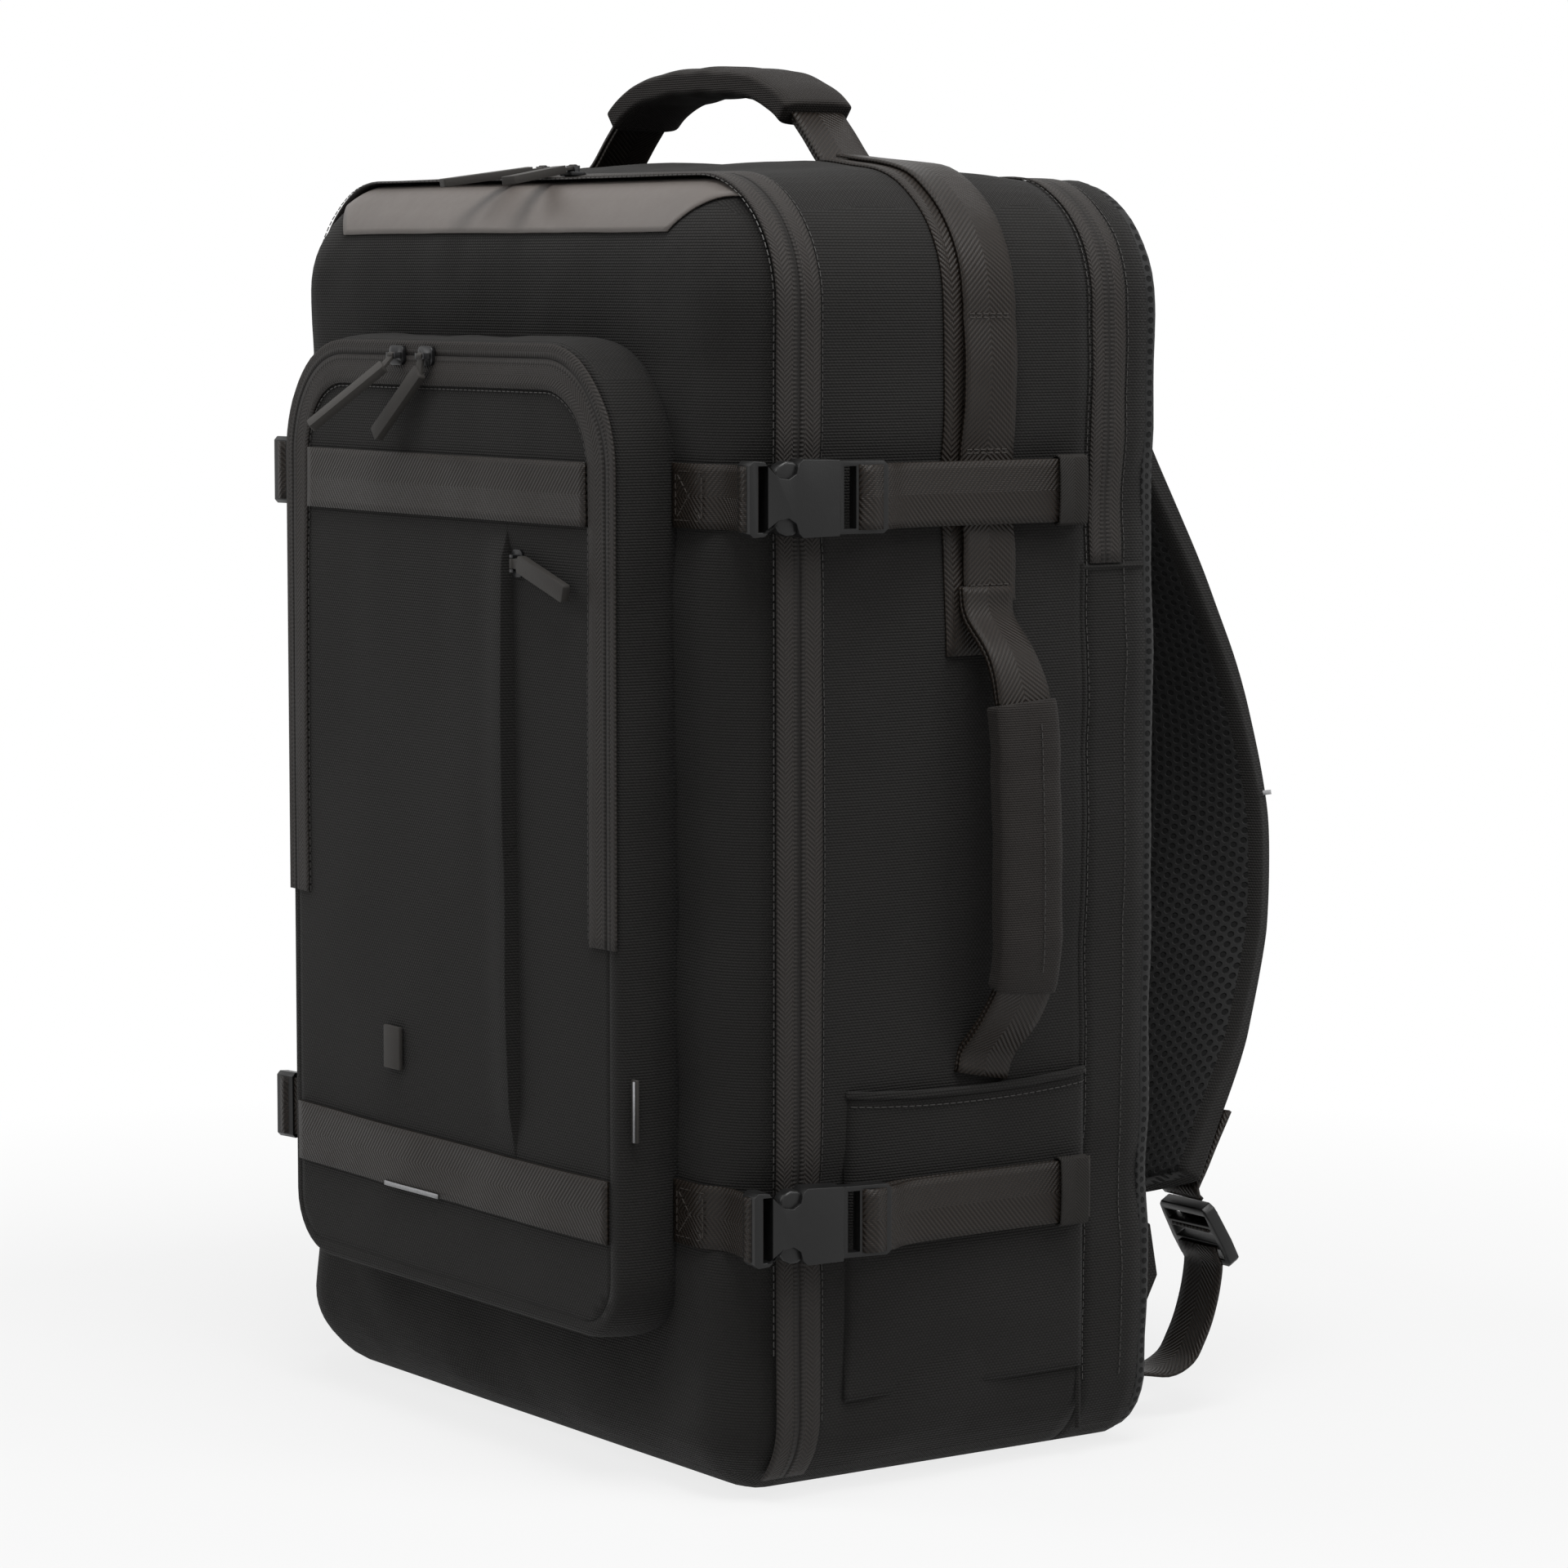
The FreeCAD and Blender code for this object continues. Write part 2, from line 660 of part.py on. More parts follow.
def makeSidePockets():
    x0 = sideSkin
    x1 = halfWidth + sidePocketGap + sidePocketWall
    rear = seamY - gap
    outer = block(x0, x1, sidePocketFront, rear, bottomCorner, sidePocketTop)
    room = block(x0 - 1, x1 - sidePocketWall, sidePocketFront + sidePocketWall,
                 rear - sidePocketWall, bottomCorner + sidePocketWall, sidePocketTop + 1)
    save("side_pockets", bothSides(outer.cut(room)))


# Shoulder straps

def strapSection(centre, before, after, lean, width, thickness):
    along = (vec(*after) - vec(*before)).normalize()
    across = vec(math.cos(math.radians(lean)), math.sin(math.radians(lean)), 0)
    across = (across - along * across.dot(along)).normalize()
    out = across.cross(along).normalize()
    middle = vec(*centre)
    corners = [middle + across * (a * width / 2) + out * (b * thickness / 2)
               for a, b in ((-1, -1), (1, -1), (1, 1), (-1, 1))]
    return Part.makePolygon(corners + corners[:1])


def ribbonLoft(stations, thickness):
    centres = [s[0] for s in stations]
    sections = []
    for i, (centre, lean, width) in enumerate(stations):
        before = centres[max(i - 1, 0)]
        after = centres[min(i + 1, len(centres) - 1)]
        sections.append(strapSection(centre, before, after, lean, width, thickness))
    return Part.makeLoft(sections, True, True)


def makeShoulderStraps():
    right = ribbonLoft(strapStations, strapThick)
    behindBag = block(-bodyWidth, bodyWidth, backY + gap, 2 * bodyDepth, 0, bodyHeight)
    right = right.common(behindBag)
    save("shoulder_strap_right", right)
    save("shoulder_strap_left", mirrored(right))


def ladderFrame():
    half = ladderWidth / 2
    frame = block(-half, half, -ladderThick / 2, ladderThick / 2, -ladderLength / 2,
                  ladderLength / 2)
    edges = [e for e in frame.Edges if abs(e.Vertexes[0].Y - e.Vertexes[-1].Y) > 1]
    frame = frame.makeFillet(3, edges)
    for z0, z1 in ladderSlots:
        frame = frame.cut(block(-ladderSlotHalf, ladderSlotHalf, -ladderThick, ladderThick, z0, z1))
    lip = block(-half, half, ladderThick / 2 - 1, ladderThick / 2 + ladderLip, -ladderLength / 2,
                -ladderLength / 2 + ladderLip)
    return join([frame, lip])


def makeStrapHardware():
    frame = ladderFrame()
    frame.rotate(vec(0, 0, 0), vec(1, 0, 0), lockLean)
    frame.translate(vec(*lockCentre))
    save("ladder_lock_right", frame)
    save("ladder_lock_left", mirrored(frame))
    half = webbing / 2
    x0 = lockCentre[0] - half
    y, z = lockCentre[1], lockCentre[2]

    def onLock(across, up):
        """A point of the leaned lock, measured from its centre, as (y, z)."""
        lean = math.radians(lockLean)
        return (y + across * math.cos(lean) - up * math.sin(lean),
                z + across * math.sin(lean) + up * math.cos(lean))

    def inYz(a, b):
        return vec(x0, a, b)

    inner = onLock(-ladderThick / 2 - gap - webbingThick / 2, 2 - ladderLength / 2)
    hanging = [inner, (y + 1, z - 24), (y - 3, z - 36), (y - 7, z - 46), (y - 12, z - 54),
               (y - 22, z - 58), (y - 36, z - 56), (backY + 6, z - 54), (backY + gap, z - 54)]
    loop = band(hanging, webbingThick, inYz, vec(webbing, 0, 0))
    above, end = strapStations[-2][0], strapStations[-1][0]
    run = vec(0, end[1] - above[1], end[2] - above[2])
    out = vec(0, -run.z, run.y).normalize() * (strapThick / 2 + 2 * webbingThick)
    tabPoints = [(above[1] + run.y * part + out.y, above[2] + run.z * part + out.z)
                 for part in (0.2, 0.5, 0.8)]
    tab = band(tabPoints + [onLock(0, ladderLength / 2 + gap)], webbingThick, inYz,
               vec(webbing, 0, 0))
    save("strap_webbing", Part.makeCompound([loop, mirrored(loop), tab, mirrored(tab)]))
    wing = Part.makePolygon([vec(138, backY + 0.3, 96), vec(138, backY + 0.3, 34),
                             vec(138, backY + 22, 46), vec(138, backY + 30, 62),
                             vec(138, backY + 26, 84), vec(138, backY + 0.3, 96)])
    save("strap_wings", bothSides(Part.Face(wing).extrude(vec(3, 0, 0))))


def strapInnerEdge(height):
    """Where the right strap's inner edge passes a height."""
    for (high, highLean, highWidth), (low, lowLean, lowWidth) in zip(strapStations,
                                                                     strapStations[1:]):
        if low[2] <= height <= high[2]:
            part = (high[2] - height) / (high[2] - low[2])
            lean = math.radians(highLean + part * (lowLean - highLean))
            half = (highWidth + part * (lowWidth - highWidth)) / 2
            x = high[0] + part * (low[0] - high[0])
            y = high[1] + part * (low[1] - high[1])
            return x - half * math.cos(lean), y - half * math.sin(lean)


def makeSternum():
    low = sternumHeight - sternumWebbing / 2
    high = low + sternumWebbing
    edgeX, edgeY = strapInnerEdge(sternumHeight)
    front = edgeY - sternumThick / 2
    rear = front + sternumThick
    body = block(0, sternumHalf, front, rear, low - 3, high + 3)
    cavity = block(-1, 12, front + 2, rear - 2, low + 0.5, high - 0.5)
    windows = [Part.makeCylinder(5, sternumThick + 2, vec(7, front - 1, z), vec(0, 1, 0))
               for z in (low - 5, high + 5)]
    for tool in [cavity] + windows:
        body = body.cut(tool)
    save("sternum_socket", body)
    frame = block(-sternumHalf, -gap, front, rear, low - 3, high + 3)
    frame = frame.cut(block(-13, -5, front + 2, rear - 2, low - 0.5, high + 0.5))
    save("sternum_plug", frame.cut(block(-12, -8, front - 1, rear + 1, low, high)))
    arms = []
    for sign in (-1, 1):
        z0, z1 = sorted((sternumHeight + sign * 5, sternumHeight + sign * 8))
        arms.append(block(0, 11, front + 2.4, rear - 2.4, z0, z1))
    save("sternum_prongs", Part.makeCompound(arms))
    start = sternumHalf + gap
    end = edgeX - 3
    middle = (front + rear) / 2
    strip = block(start, end, middle - 0.7, middle + 0.7, low, high)
    save("sternum_webbing", bothSides(strip))


makeShells()
makeRear()
makeBackPads()
makeTapes()
makeSliders()
makePocket()
makeCoatedPanel()
makeBadge()
makeBuckles()
makeTopHandle()
makeSideHandles()
makeSidePockets()
makeShoulderStraps()
makeStrapHardware()
makeSternum()
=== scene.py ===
import json
import math

import bmesh
import bpy
from mathutils import Matrix, Vector, noise


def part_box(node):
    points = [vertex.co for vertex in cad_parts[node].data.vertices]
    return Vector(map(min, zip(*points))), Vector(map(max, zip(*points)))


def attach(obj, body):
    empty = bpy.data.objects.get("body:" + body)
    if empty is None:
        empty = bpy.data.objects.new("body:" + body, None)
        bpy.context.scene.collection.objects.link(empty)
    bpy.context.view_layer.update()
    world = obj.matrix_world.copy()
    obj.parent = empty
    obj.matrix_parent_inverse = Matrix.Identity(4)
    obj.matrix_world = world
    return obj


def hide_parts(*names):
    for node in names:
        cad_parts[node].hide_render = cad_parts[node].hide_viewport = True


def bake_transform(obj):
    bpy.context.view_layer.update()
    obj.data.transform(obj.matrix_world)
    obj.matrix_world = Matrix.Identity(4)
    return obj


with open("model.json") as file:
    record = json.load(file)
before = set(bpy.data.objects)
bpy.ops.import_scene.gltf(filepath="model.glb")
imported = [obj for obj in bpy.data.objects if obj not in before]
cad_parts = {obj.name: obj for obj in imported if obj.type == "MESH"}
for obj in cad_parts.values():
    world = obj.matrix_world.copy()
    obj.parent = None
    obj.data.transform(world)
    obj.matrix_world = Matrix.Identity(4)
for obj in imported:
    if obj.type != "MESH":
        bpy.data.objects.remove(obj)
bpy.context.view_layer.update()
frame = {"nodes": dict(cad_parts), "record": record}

scene = bpy.context.scene
slotOf = {part["node"]: part["material_slot"] for part in frame["record"]["subparts"]}
bodyOf = {node: body for body, nodes in frame["record"]["behaviour"]["bodies"].items() for node in nodes}
mm = 0.001
webbingWidth = 25 * mm


studio = {
    "cameraPlace": (1.7844, -1.2025, 0.4791),
    "cameraLook": (-0.8168, 0.5683, -0.0995),
    "lens": 117.7,
    "skyLight": 0.34,
    "softBoxes": [  # place, size, power, aim
        ((0.7, -0.3, 2.2), 1.1, 40, (0, 0, 0.42)),
        ((1.8, 1.0, 1.9), 1.0, 18, (0, 0, 0.45)),
        ((-1.3, -1.7, 1.9), 1.0, 14, (0, 0, 0.45)),
    ],
    "floorGlow": 0.8,
    "shadowReach": 0.42,
}


def makeStudio():
    camera = bpy.data.objects.new("camera", bpy.data.cameras.new("camera"))
    scene.collection.objects.link(camera)
    camera.data.lens = studio["lens"]
    camera.data.sensor_width = 36
    camera.data.clip_end = 50
    camera.location = studio["cameraPlace"]
    camera.rotation_euler = Vector(studio["cameraLook"]).to_track_quat("-Z", "Y").to_euler()
    scene.camera = camera
    for i, (place, size, power, aim) in enumerate(studio["softBoxes"]):
        lamp = bpy.data.objects.new(f"softBox{i}", bpy.data.lights.new(f"softBox{i}", "AREA"))
        scene.collection.objects.link(lamp)
        lamp.data.size = size
        lamp.data.energy = power
        lamp.location = place
        lamp.rotation_euler = (Vector(aim) - Vector(place)).to_track_quat("-Z", "Y").to_euler()
    scene.view_settings.view_transform = "Standard"


class Signal:  # one socket of a material's nodes, which sums and products can be taken of
    def __init__(self, tree, socket=None):
        self.tree = tree
        self.socket = socket

    def node(self, kind, settings=None, inputs=None, out=0):
        made = self.tree.nodes.new("ShaderNode" + kind)
        for name, value in (settings or {}).items():
            setattr(made, name, value)
        for name, value in (inputs or {}).items():
            if isinstance(value, Signal):
                self.tree.links.new(value.socket, made.inputs[name])
            else:
                made.inputs[name].default_value = value
        return Signal(self.tree, made.outputs[out])

    def math(self, operation, first, second=0.0):
        return self.node("Math", {"operation": operation}, {0: first, 1: second})

    def __add__(self, other):
        return self.math("ADD", self, other)

    def __sub__(self, other):
        return self.math("SUBTRACT", self, other)

    def __rsub__(self, other):
        return self.math("SUBTRACT", other, self)

    def __mul__(self, other):
        return self.math("MULTIPLY", self, other)

    def __truediv__(self, other):
        return self.math("DIVIDE", self, other)

    def __mod__(self, other):
        return self.math("FLOORED_MODULO", self, other)

    def __gt__(self, other):
        return self.math("GREATER_THAN", self, other)

    def __lt__(self, other):
        return self.math("LESS_THAN", self, other)

    def __abs__(self):
        return self.math("ABSOLUTE", self)

    __radd__ = __add__
    __rmul__ = __mul__

    def wave(self):  # 0 to 1 and back over one unit
        return self.math("SINE", self * (2 * math.pi)) * 0.5 + 0.5

    def floor(self):
        return self.math("FLOOR", self)

    def clip(self, low=0.0, high=1.0):
        return self.node("Clamp", None, {"Value": self, "Min": low, "Max": high})


def newMaterial(name):
    material = bpy.data.materials.new(name)
    material.use_nodes = True
    return material, Signal(material.node_tree), material.node_tree.nodes["Principled BSDF"]


def linear(shade):  # screen colour, 0 to 255, to the shader's own scale
    return tuple(((c / 255 + 0.055) / 1.055) ** 2.4 if c > 10 else c / 255 / 12.92 for c in shade)


def shadeBetween(start, dark, light, factor):
    return start.node("Mix", {"data_type": "RGBA"}, {"Factor": factor, 6: (*dark, 1), 7: (*light, 1)}, 2)


def connect(start, shader, name, value):
    start.tree.links.new(value.socket, shader.inputs[name])


def bumped(start, shader, height, depth, strength=1.0):
    bump = start.node("Bump", None, {"Height": height, "Distance": depth, "Strength": strength})
    connect(start, shader, "Normal", bump)


def axes(start, vector):
    split = start.node("SeparateXYZ", None, {"Vector": vector})
    names = split.socket.node.outputs
    return [Signal(start.tree, names[i]) for i in range(3)]


def noiseOf(start, coordinates, scale, detail=3.0, rough=0.5):
    settings = {"noise_dimensions": "3D"}
    return start.node("TexNoise", settings, {"Vector": coordinates, "Scale": scale, "Detail": detail,
                                             "Roughness": rough})


def objectPlace(start):
    place = start.node("TexCoord", None, None, 3)
    normal = start.node("TexCoord", None, None, 1)
    return place, normal


def clothCoordinates(start):  # metres along the cloth and up it, over sides and top alike
    place, normal = objectPlace(start)
    x, y, z = axes(start, place)
    top = abs(axes(start, normal)[2]) > 0.72
    along = abs(x) + y * (1 - top)
    up = z * (1 - top) + y * top
    return place, along, up


canvasLook = {"row": 1.15 * mm, "stitch": 1.7 * mm, "depth": 0.22 * mm}


def makeCanvas(name, shade, rough=0.86, contrast=0.32, scale=1.0):
    material, start, shader = newMaterial(name)
    place, along, up = clothCoordinates(start)
    row = up / (canvasLook["row"] * scale)
    shift = (row.floor() % 2) * 0.5
    ribs = abs(start.math("SINE", row * math.pi))
    knots = (along / (canvasLook["stitch"] * scale) + shift).wave()
    weave = ribs * (knots * 0.5 + 0.5)
    cloudy = noiseOf(start, place, 14, 4)
    lint = noiseOf(start, place, 900, 2)
    dark = tuple(c * (1 - contrast) for c in linear(shade))
    light = tuple(c * (1 + contrast * 1.1) for c in linear(shade))
    # base colour: the weave term is painted highlight on the thread crests and painted shade between the
    # rows; the cloudy and lint terms are the cloth's own uneven tone
    connect(start, shader, "Base Color",
            shadeBetween(start, dark, light, (weave * 0.62 + cloudy * 0.34 + lint * 0.22 - 0.1).clip()))
    connect(start, shader, "Roughness", (rough + 0.1 - weave * 0.16).clip())
    shader.inputs["Specular IOR Level"].default_value = 0.18
    shader.inputs["Sheen Weight"].default_value = 0.03
    shader.inputs["Sheen Roughness"].default_value = 0.5
    bumped(start, shader, weave + lint * 0.15 + cloudy * 0.5, canvasLook["depth"] * 1.6)
    return material


def uvAxes(start):
    across, along, _ = axes(start, start.node("UVMap", None, None))
    return across, along


def makeWebbing(name, shade, column=12.5 * mm, pitch=2.2 * mm, rough=0.42, contrast=0.45, zipLine=False):
    material, start, shader = newMaterial(name)
    across, along = uvAxes(start)
    place, _ = objectPlace(start)
    side = across / column + 8
    lean = ((side.floor() % 2) * 2 - 1) * across
    twill = ((along + lean * 0.9) / pitch).wave()
    yarn = (across / (0.75 * mm)).wave()
    weave = twill * 0.75 + yarn * 0.25
    cloudy = noiseOf(start, place, 30, 3)
    factor = weave * 0.75 + cloudy * 0.25
    height = weave
    if zipLine:  # the covered coil in the middle of a zip
        near = abs(across) < 2.6 * mm
        rungs = (along / (1.7 * mm)).wave()
        coil = (abs(start.math("SINE", across / (3.1 * mm) * math.pi)) * 0.7 + rungs * 0.3) * near
        gap = abs(across) < 0.45 * mm
        factor = factor * (1 - near) + rungs * 0.45 * near * (1 - gap)
        height = height * (1 - near) + coil * 3.0 * (1 - gap)
    dark = tuple(c * (1 - contrast) for c in linear(shade))
    light = tuple(c * (1 + contrast) for c in linear(shade))
    connect(start, shader, "Base Color", shadeBetween(start, dark, light, factor.clip()))
    connect(start, shader, "Roughness", (rough + cloudy * 0.16 - 0.04).clip())
    shader.inputs["Specular IOR Level"].default_value = 0.2
    bumped(start, shader, height, 0.3 * mm)
    return material


def makeMoulded(name, shade, rough=0.38, grain=0.05 * mm, grainScale=1500, specular=0.5, metal=0.0):
    material, start, shader = newMaterial(name)
    place, _ = objectPlace(start)
    speck = noiseOf(start, place, grainScale, 2)
    cloudy = noiseOf(start, place, 60, 3)
    worn = (cloudy - 0.62).clip() * 2.2
    base = linear(shade)
    connect(start, shader, "Base Color",
            shadeBetween(start, base, tuple(c * 1.7 + 0.004 for c in base), (speck * 0.3 + worn).clip()))
    connect(start, shader, "Roughness", (rough + speck * 0.08 + cloudy * 0.12 - 0.08).clip())
    shader.inputs["Metallic"].default_value = metal
    shader.inputs["Specular IOR Level"].default_value = specular
    bumped(start, shader, speck, grain)
    return material


def makeSpacerMesh(name, shade, pitch=3.6 * mm):
    material, start, shader = newMaterial(name)
    place, normal = objectPlace(start)
    x, y, z = axes(start, place)
    sideways = abs(axes(start, normal)[0]) > 0.72
    a = (x * (1 - sideways) + y * sideways) * (2 * math.pi / pitch)
    b = z * (2 * math.pi / pitch)
    web = start.math("COSINE", a) + start.math("COSINE", a * 0.5 + b * 0.866) \
        + start.math("COSINE", a * 0.5 - b * 0.866)
    holes = ((web + 0.2) * 0.8).clip()
    lint = noiseOf(start, place, 700, 2)
    # the hole pattern is the mesh's own; the holes' near-black colour is painted shade inside them
    dark = tuple(c * 0.2 for c in linear(shade))
    light = tuple(c * 1.5 for c in linear(shade))
    connect(start, shader, "Base Color", shadeBetween(start, light, dark, (holes - lint * 0.2).clip()))
    connect(start, shader, "Roughness", (0.7 + holes * 0.25).clip())
    shader.inputs["Specular IOR Level"].default_value = 0.3
    bumped(start, shader, 1 - holes, 1.1 * mm)
    return material


def makeCoated(name, shade):
    material, start, shader = newMaterial(name)
    place, _ = objectPlace(start)
    grain = start.node("TexVoronoi", {"feature": "DISTANCE_TO_EDGE"}, {"Vector": place, "Scale": 1100})
    cloudy = noiseOf(start, place, 22, 4)
    scuff = noiseOf(start, place, 260, 3)
    base = linear(shade)
    connect(start, shader, "Base Color",
            shadeBetween(start, tuple(c * 0.82 for c in base), tuple(c * 1.2 for c in base), cloudy))
    connect(start, shader, "Roughness", (0.44 + scuff * 0.14).clip())
    shader.inputs["Specular IOR Level"].default_value = 0.5
    bumped(start, shader, grain * 0.6 + cloudy * 0.4, 0.1 * mm)
    return material


def makeThread(name, shade):
    material, start, shader = newMaterial(name)
    place, _ = objectPlace(start)
    twist = noiseOf(start, place, 2400, 2)
    base = linear(shade)
    connect(start, shader, "Base Color", shadeBetween(start, tuple(c * 0.6 for c in base), base, twist))
    connect(start, shader, "Roughness", (0.45 + twist * 0.2).clip())
    bumped(start, shader, twist, 0.05 * mm)
    return material


def makeReflective(name, shade):
    material, start, shader = newMaterial(name)
    place, _ = objectPlace(start)
    cells = start.node("TexVoronoi", {"feature": "DISTANCE_TO_EDGE"}, {"Vector": place, "Scale": 700})
    base = linear(shade)
    connect(start, shader, "Base Color", shadeBetween(start, tuple(c * 0.75 for c in base), base,
                                                      (cells * 4).clip()))
    connect(start, shader, "Roughness", (0.35 + cells * 0.2).clip())
    bumped(start, shader, cells, 0.05 * mm)
    return material


def makeLining(name, shade):
    material, start, shader = newMaterial(name)
    place, along, up = clothCoordinates(start)
    grid = ((along / (5 * mm)).wave() > 0.93) + ((up / (5 * mm)).wave() > 0.93)
    fine = (along / (0.6 * mm)).wave() * (up / (0.6 * mm)).wave()
    cloudy = noiseOf(start, place, 18, 3)
    base = linear(shade)
    connect(start, shader, "Base Color", shadeBetween(start, tuple(c * 0.75 for c in base),
            tuple(c * 1.3 for c in base), (grid * 0.5 + fine * 0.3 + cloudy * 0.3).clip()))
    connect(start, shader, "Roughness", (0.55 + cloudy * 0.15).clip())
    bumped(start, shader, grid.clip() + fine * 0.3, 0.12 * mm)
    return material


def makeFloor():
    material, start, shader = newMaterial("floor")
    place, _ = objectPlace(start)
    shader.inputs["Roughness"].default_value = 0.9
    shader.inputs["Specular IOR Level"].default_value = 0.0
    soft = noiseOf(start, place, 1.5, 2)
    connect(start, shader, "Base Color", shadeBetween(start, (0.56, 0.56, 0.56), (0.6, 0.6, 0.6), soft))
    rays = start.node("LightPath")
    outs = rays.socket.node.outputs
    seen = (Signal(start.tree, outs["Is Camera Ray"]) + Signal(start.tree, outs["Is Glossy Ray"])
            + Signal(start.tree, outs["Is Transmission Ray"])).clip()
    glow = start.node("Emission", None, {"Color": (1, 1, 1, 1), "Strength": 1.0})
    far = start.node("VectorMath", {"operation": "LENGTH"}, {0: place}, out="Value")
    spreadOut = ((far - studio["shadowReach"]) / studio["shadowReach"]).clip()
    glowing = spreadOut * (1 - studio["floorGlow"]) + studio["floorGlow"]
    whole = start.node("MixShader", None, {0: seen * glowing,
                                           1: Signal(start.tree, shader.outputs[0]), 2: glow})
    start.tree.links.new(whole.socket, start.tree.nodes["Material Output"].inputs["Surface"])
    bm = bmesh.new()
    bmesh.ops.create_grid(bm, x_segments=8, y_segments=8, size=9)
    floor = finishObject("floor", bm, [material])

    world = bpy.data.worlds.new("sky")
    scene.world = world
    world.use_nodes = True
    sky = Signal(world.node_tree)
    background = world.node_tree.nodes["Background"]
    rays = sky.node("LightPath")
    outs = rays.socket.node.outputs
    seen = (Signal(sky.tree, outs["Is Camera Ray"]) + Signal(sky.tree, outs["Is Glossy Ray"])
            + Signal(sky.tree, outs["Is Transmission Ray"])).clip()
    level = seen * (1 - studio["skyLight"]) + studio["skyLight"]
    background.inputs["Color"].default_value = (1, 1, 1, 1)
    sky.tree.links.new(level.socket, background.inputs["Strength"])


def finishObject(name, bm, materials, smooth=True):
    mesh = bpy.data.meshes.new(name)
    bm.to_mesh(mesh)
    bm.free()
    for polygon in mesh.polygons:
        polygon.use_smooth = smooth
    for material in materials:
        mesh.materials.append(material)
    made = bpy.data.objects.new(name, mesh)
    scene.collection.objects.link(made)
    return made


def put(piece, body, node=None):  # a finished piece goes on its body and stands for its node
    if body:
        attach(piece, body)
    if node:
        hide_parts(node)
    return piece


def addModifier(piece, kind, **settings):
    made = piece.modifiers.new(kind.lower(), kind)
    for name, value in settings.items():
        setattr(made, name, value)
    return made


def applyAll(piece):  # the modifiers' result becomes the piece's own mesh
    graph = bpy.context.evaluated_depsgraph_get()
    mesh = bpy.data.meshes.new_from_object(piece.evaluated_get(graph), preserve_all_data_layers=True,
                                           depsgraph=graph)
    piece.modifiers.clear()
    piece.data = mesh
    return piece


def thicken(piece, thickness, offset=1.0, inner=0):
    addModifier(piece, "SOLIDIFY", thickness=thickness, offset=offset, use_even_offset=False,
                material_offset=inner, material_offset_rim=0)


def bevel(bm, edges, offset, segments):
    bmesh.ops.bevel(bm, geom=list(edges), offset=offset, offset_type="OFFSET", segments=segments,
                    profile=0.5, affect="EDGES", material=-1, clamp_overlap=False)


def slices(bm, axis, places):
    normal = [0, 0, 0]
    normal[axis] = 1
    for place in places:
        point = [0, 0, 0]
        point[axis] = place
        bmesh.ops.bisect_plane(bm, geom=bm.verts[:] + bm.edges[:] + bm.faces[:], dist=1e-6,
                               plane_co=point, plane_no=normal)


def spread(low, high, step):
    count = max(1, round(abs(high - low) / step))
    return [low + (high - low) * i / count for i in range(1, count)]


def roundedSlab(half, low, high, y0, y1, lowCorner, topCorner, corners=(8, 12)):
    bm = bmesh.new()
    bmesh.ops.create_cube(bm, size=1)
    middle = Vector((0, (y0 + y1) / 2, (low + high) / 2))
    bmesh.ops.scale(bm, vec=(2 * half, y1 - y0, high - low), verts=bm.verts)
    bmesh.ops.translate(bm, vec=middle, verts=bm.verts)
    for top, radius, segments in ((True, topCorner, corners[1]), (False, lowCorner, corners[0])):
        if radius:
            edges = [e for e in bm.edges if abs(e.verts[0].co.y - e.verts[1].co.y) > 1e-5
                     and all((v.co.z > middle.z) == top for v in e.verts)]
            bevel(bm, edges, radius, segments)
    return bm


def roundEnd(bm, y, radius, segments):
    bevel(bm, [e for e in bm.edges if all(abs(v.co.y - y) < 1e-6 for v in e.verts)], radius, segments)


def dropFaces(bm, wanted):
    bmesh.ops.delete(bm, geom=[f for f in bm.faces if wanted(f.calc_center_median())], context="FACES")


def smoothLine(points, step):  # a smooth line through the points, about evenly divided
    points = [Vector(p) for p in points]
    padded = [2 * points[0] - points[1]] + points + [2 * points[-1] - points[-2]]
    line = []
    for a, b, c, d in zip(padded, padded[1:], padded[2:], padded[3:]):
        count = max(1, round((c - b).length / step))
        for i in range(count):
            t = i / count
            line.append(0.5 * (2 * b + (c - a) * t + (2 * a - 5 * b + 4 * c - d) * t * t
                               + (3 * b - a - 3 * c + d) * t * t * t))
    return line + [points[-1]]


def directions(line):
    ends = [line[0]] + list(line) + [line[-1]]
    return [(ends[i + 2] - ends[i]).normalized() for i in range(len(line))]


def squared(wide, way):  # the part of wide that lies square to way
    return (wide - way * wide.dot(way)).normalized()


def stripMesh(line, across, width, columns=6, offset=0.0, shape=None, uvStart=0.0):
    # A band along a line. across gives the way of its width at each place, or one way for all.
    bm = bmesh.new()
    rows = len(line) - 1
    bmesh.ops.create_grid(bm, x_segments=rows, y_segments=columns, size=0.5)
    uv = bm.loops.layers.uv.new("UVMap")
    ways = directions(line)
    lengths = [0.0]
    for a, b in zip(line, line[1:]):
        lengths.append(lengths[-1] + (b - a).length)
    bm.verts.index_update()
    places = {}
    for vertex in bm.verts:
        i = round((vertex.co.x + 0.5) * rows)
        t = vertex.co.y
        wide = across[i] if isinstance(across, list) else across
        wide = squared(wide, ways[i])
        out = wide.cross(ways[i])
        part = i / rows
        spread = width(part) if callable(width) else width
        lift = shape(part, t) if shape else 0.0
        places[vertex.index] = (t * spread + uvStart, lengths[i])
        vertex.co = line[i] + wide * (t * spread) + out * (offset + lift)
    for face in bm.faces:
        for loop in face.loops:
            loop[uv].uv = places[loop.vert.index]
    bmesh.ops.reverse_faces(bm, faces=bm.faces)
    return bm


def strip(name, line, across, width, materials, thickness=1.6 * mm, side=1, **more):
    piece = finishObject(name, stripMesh(line, across, width, **more), materials)
    thicken(piece, thickness, side)
    return piece


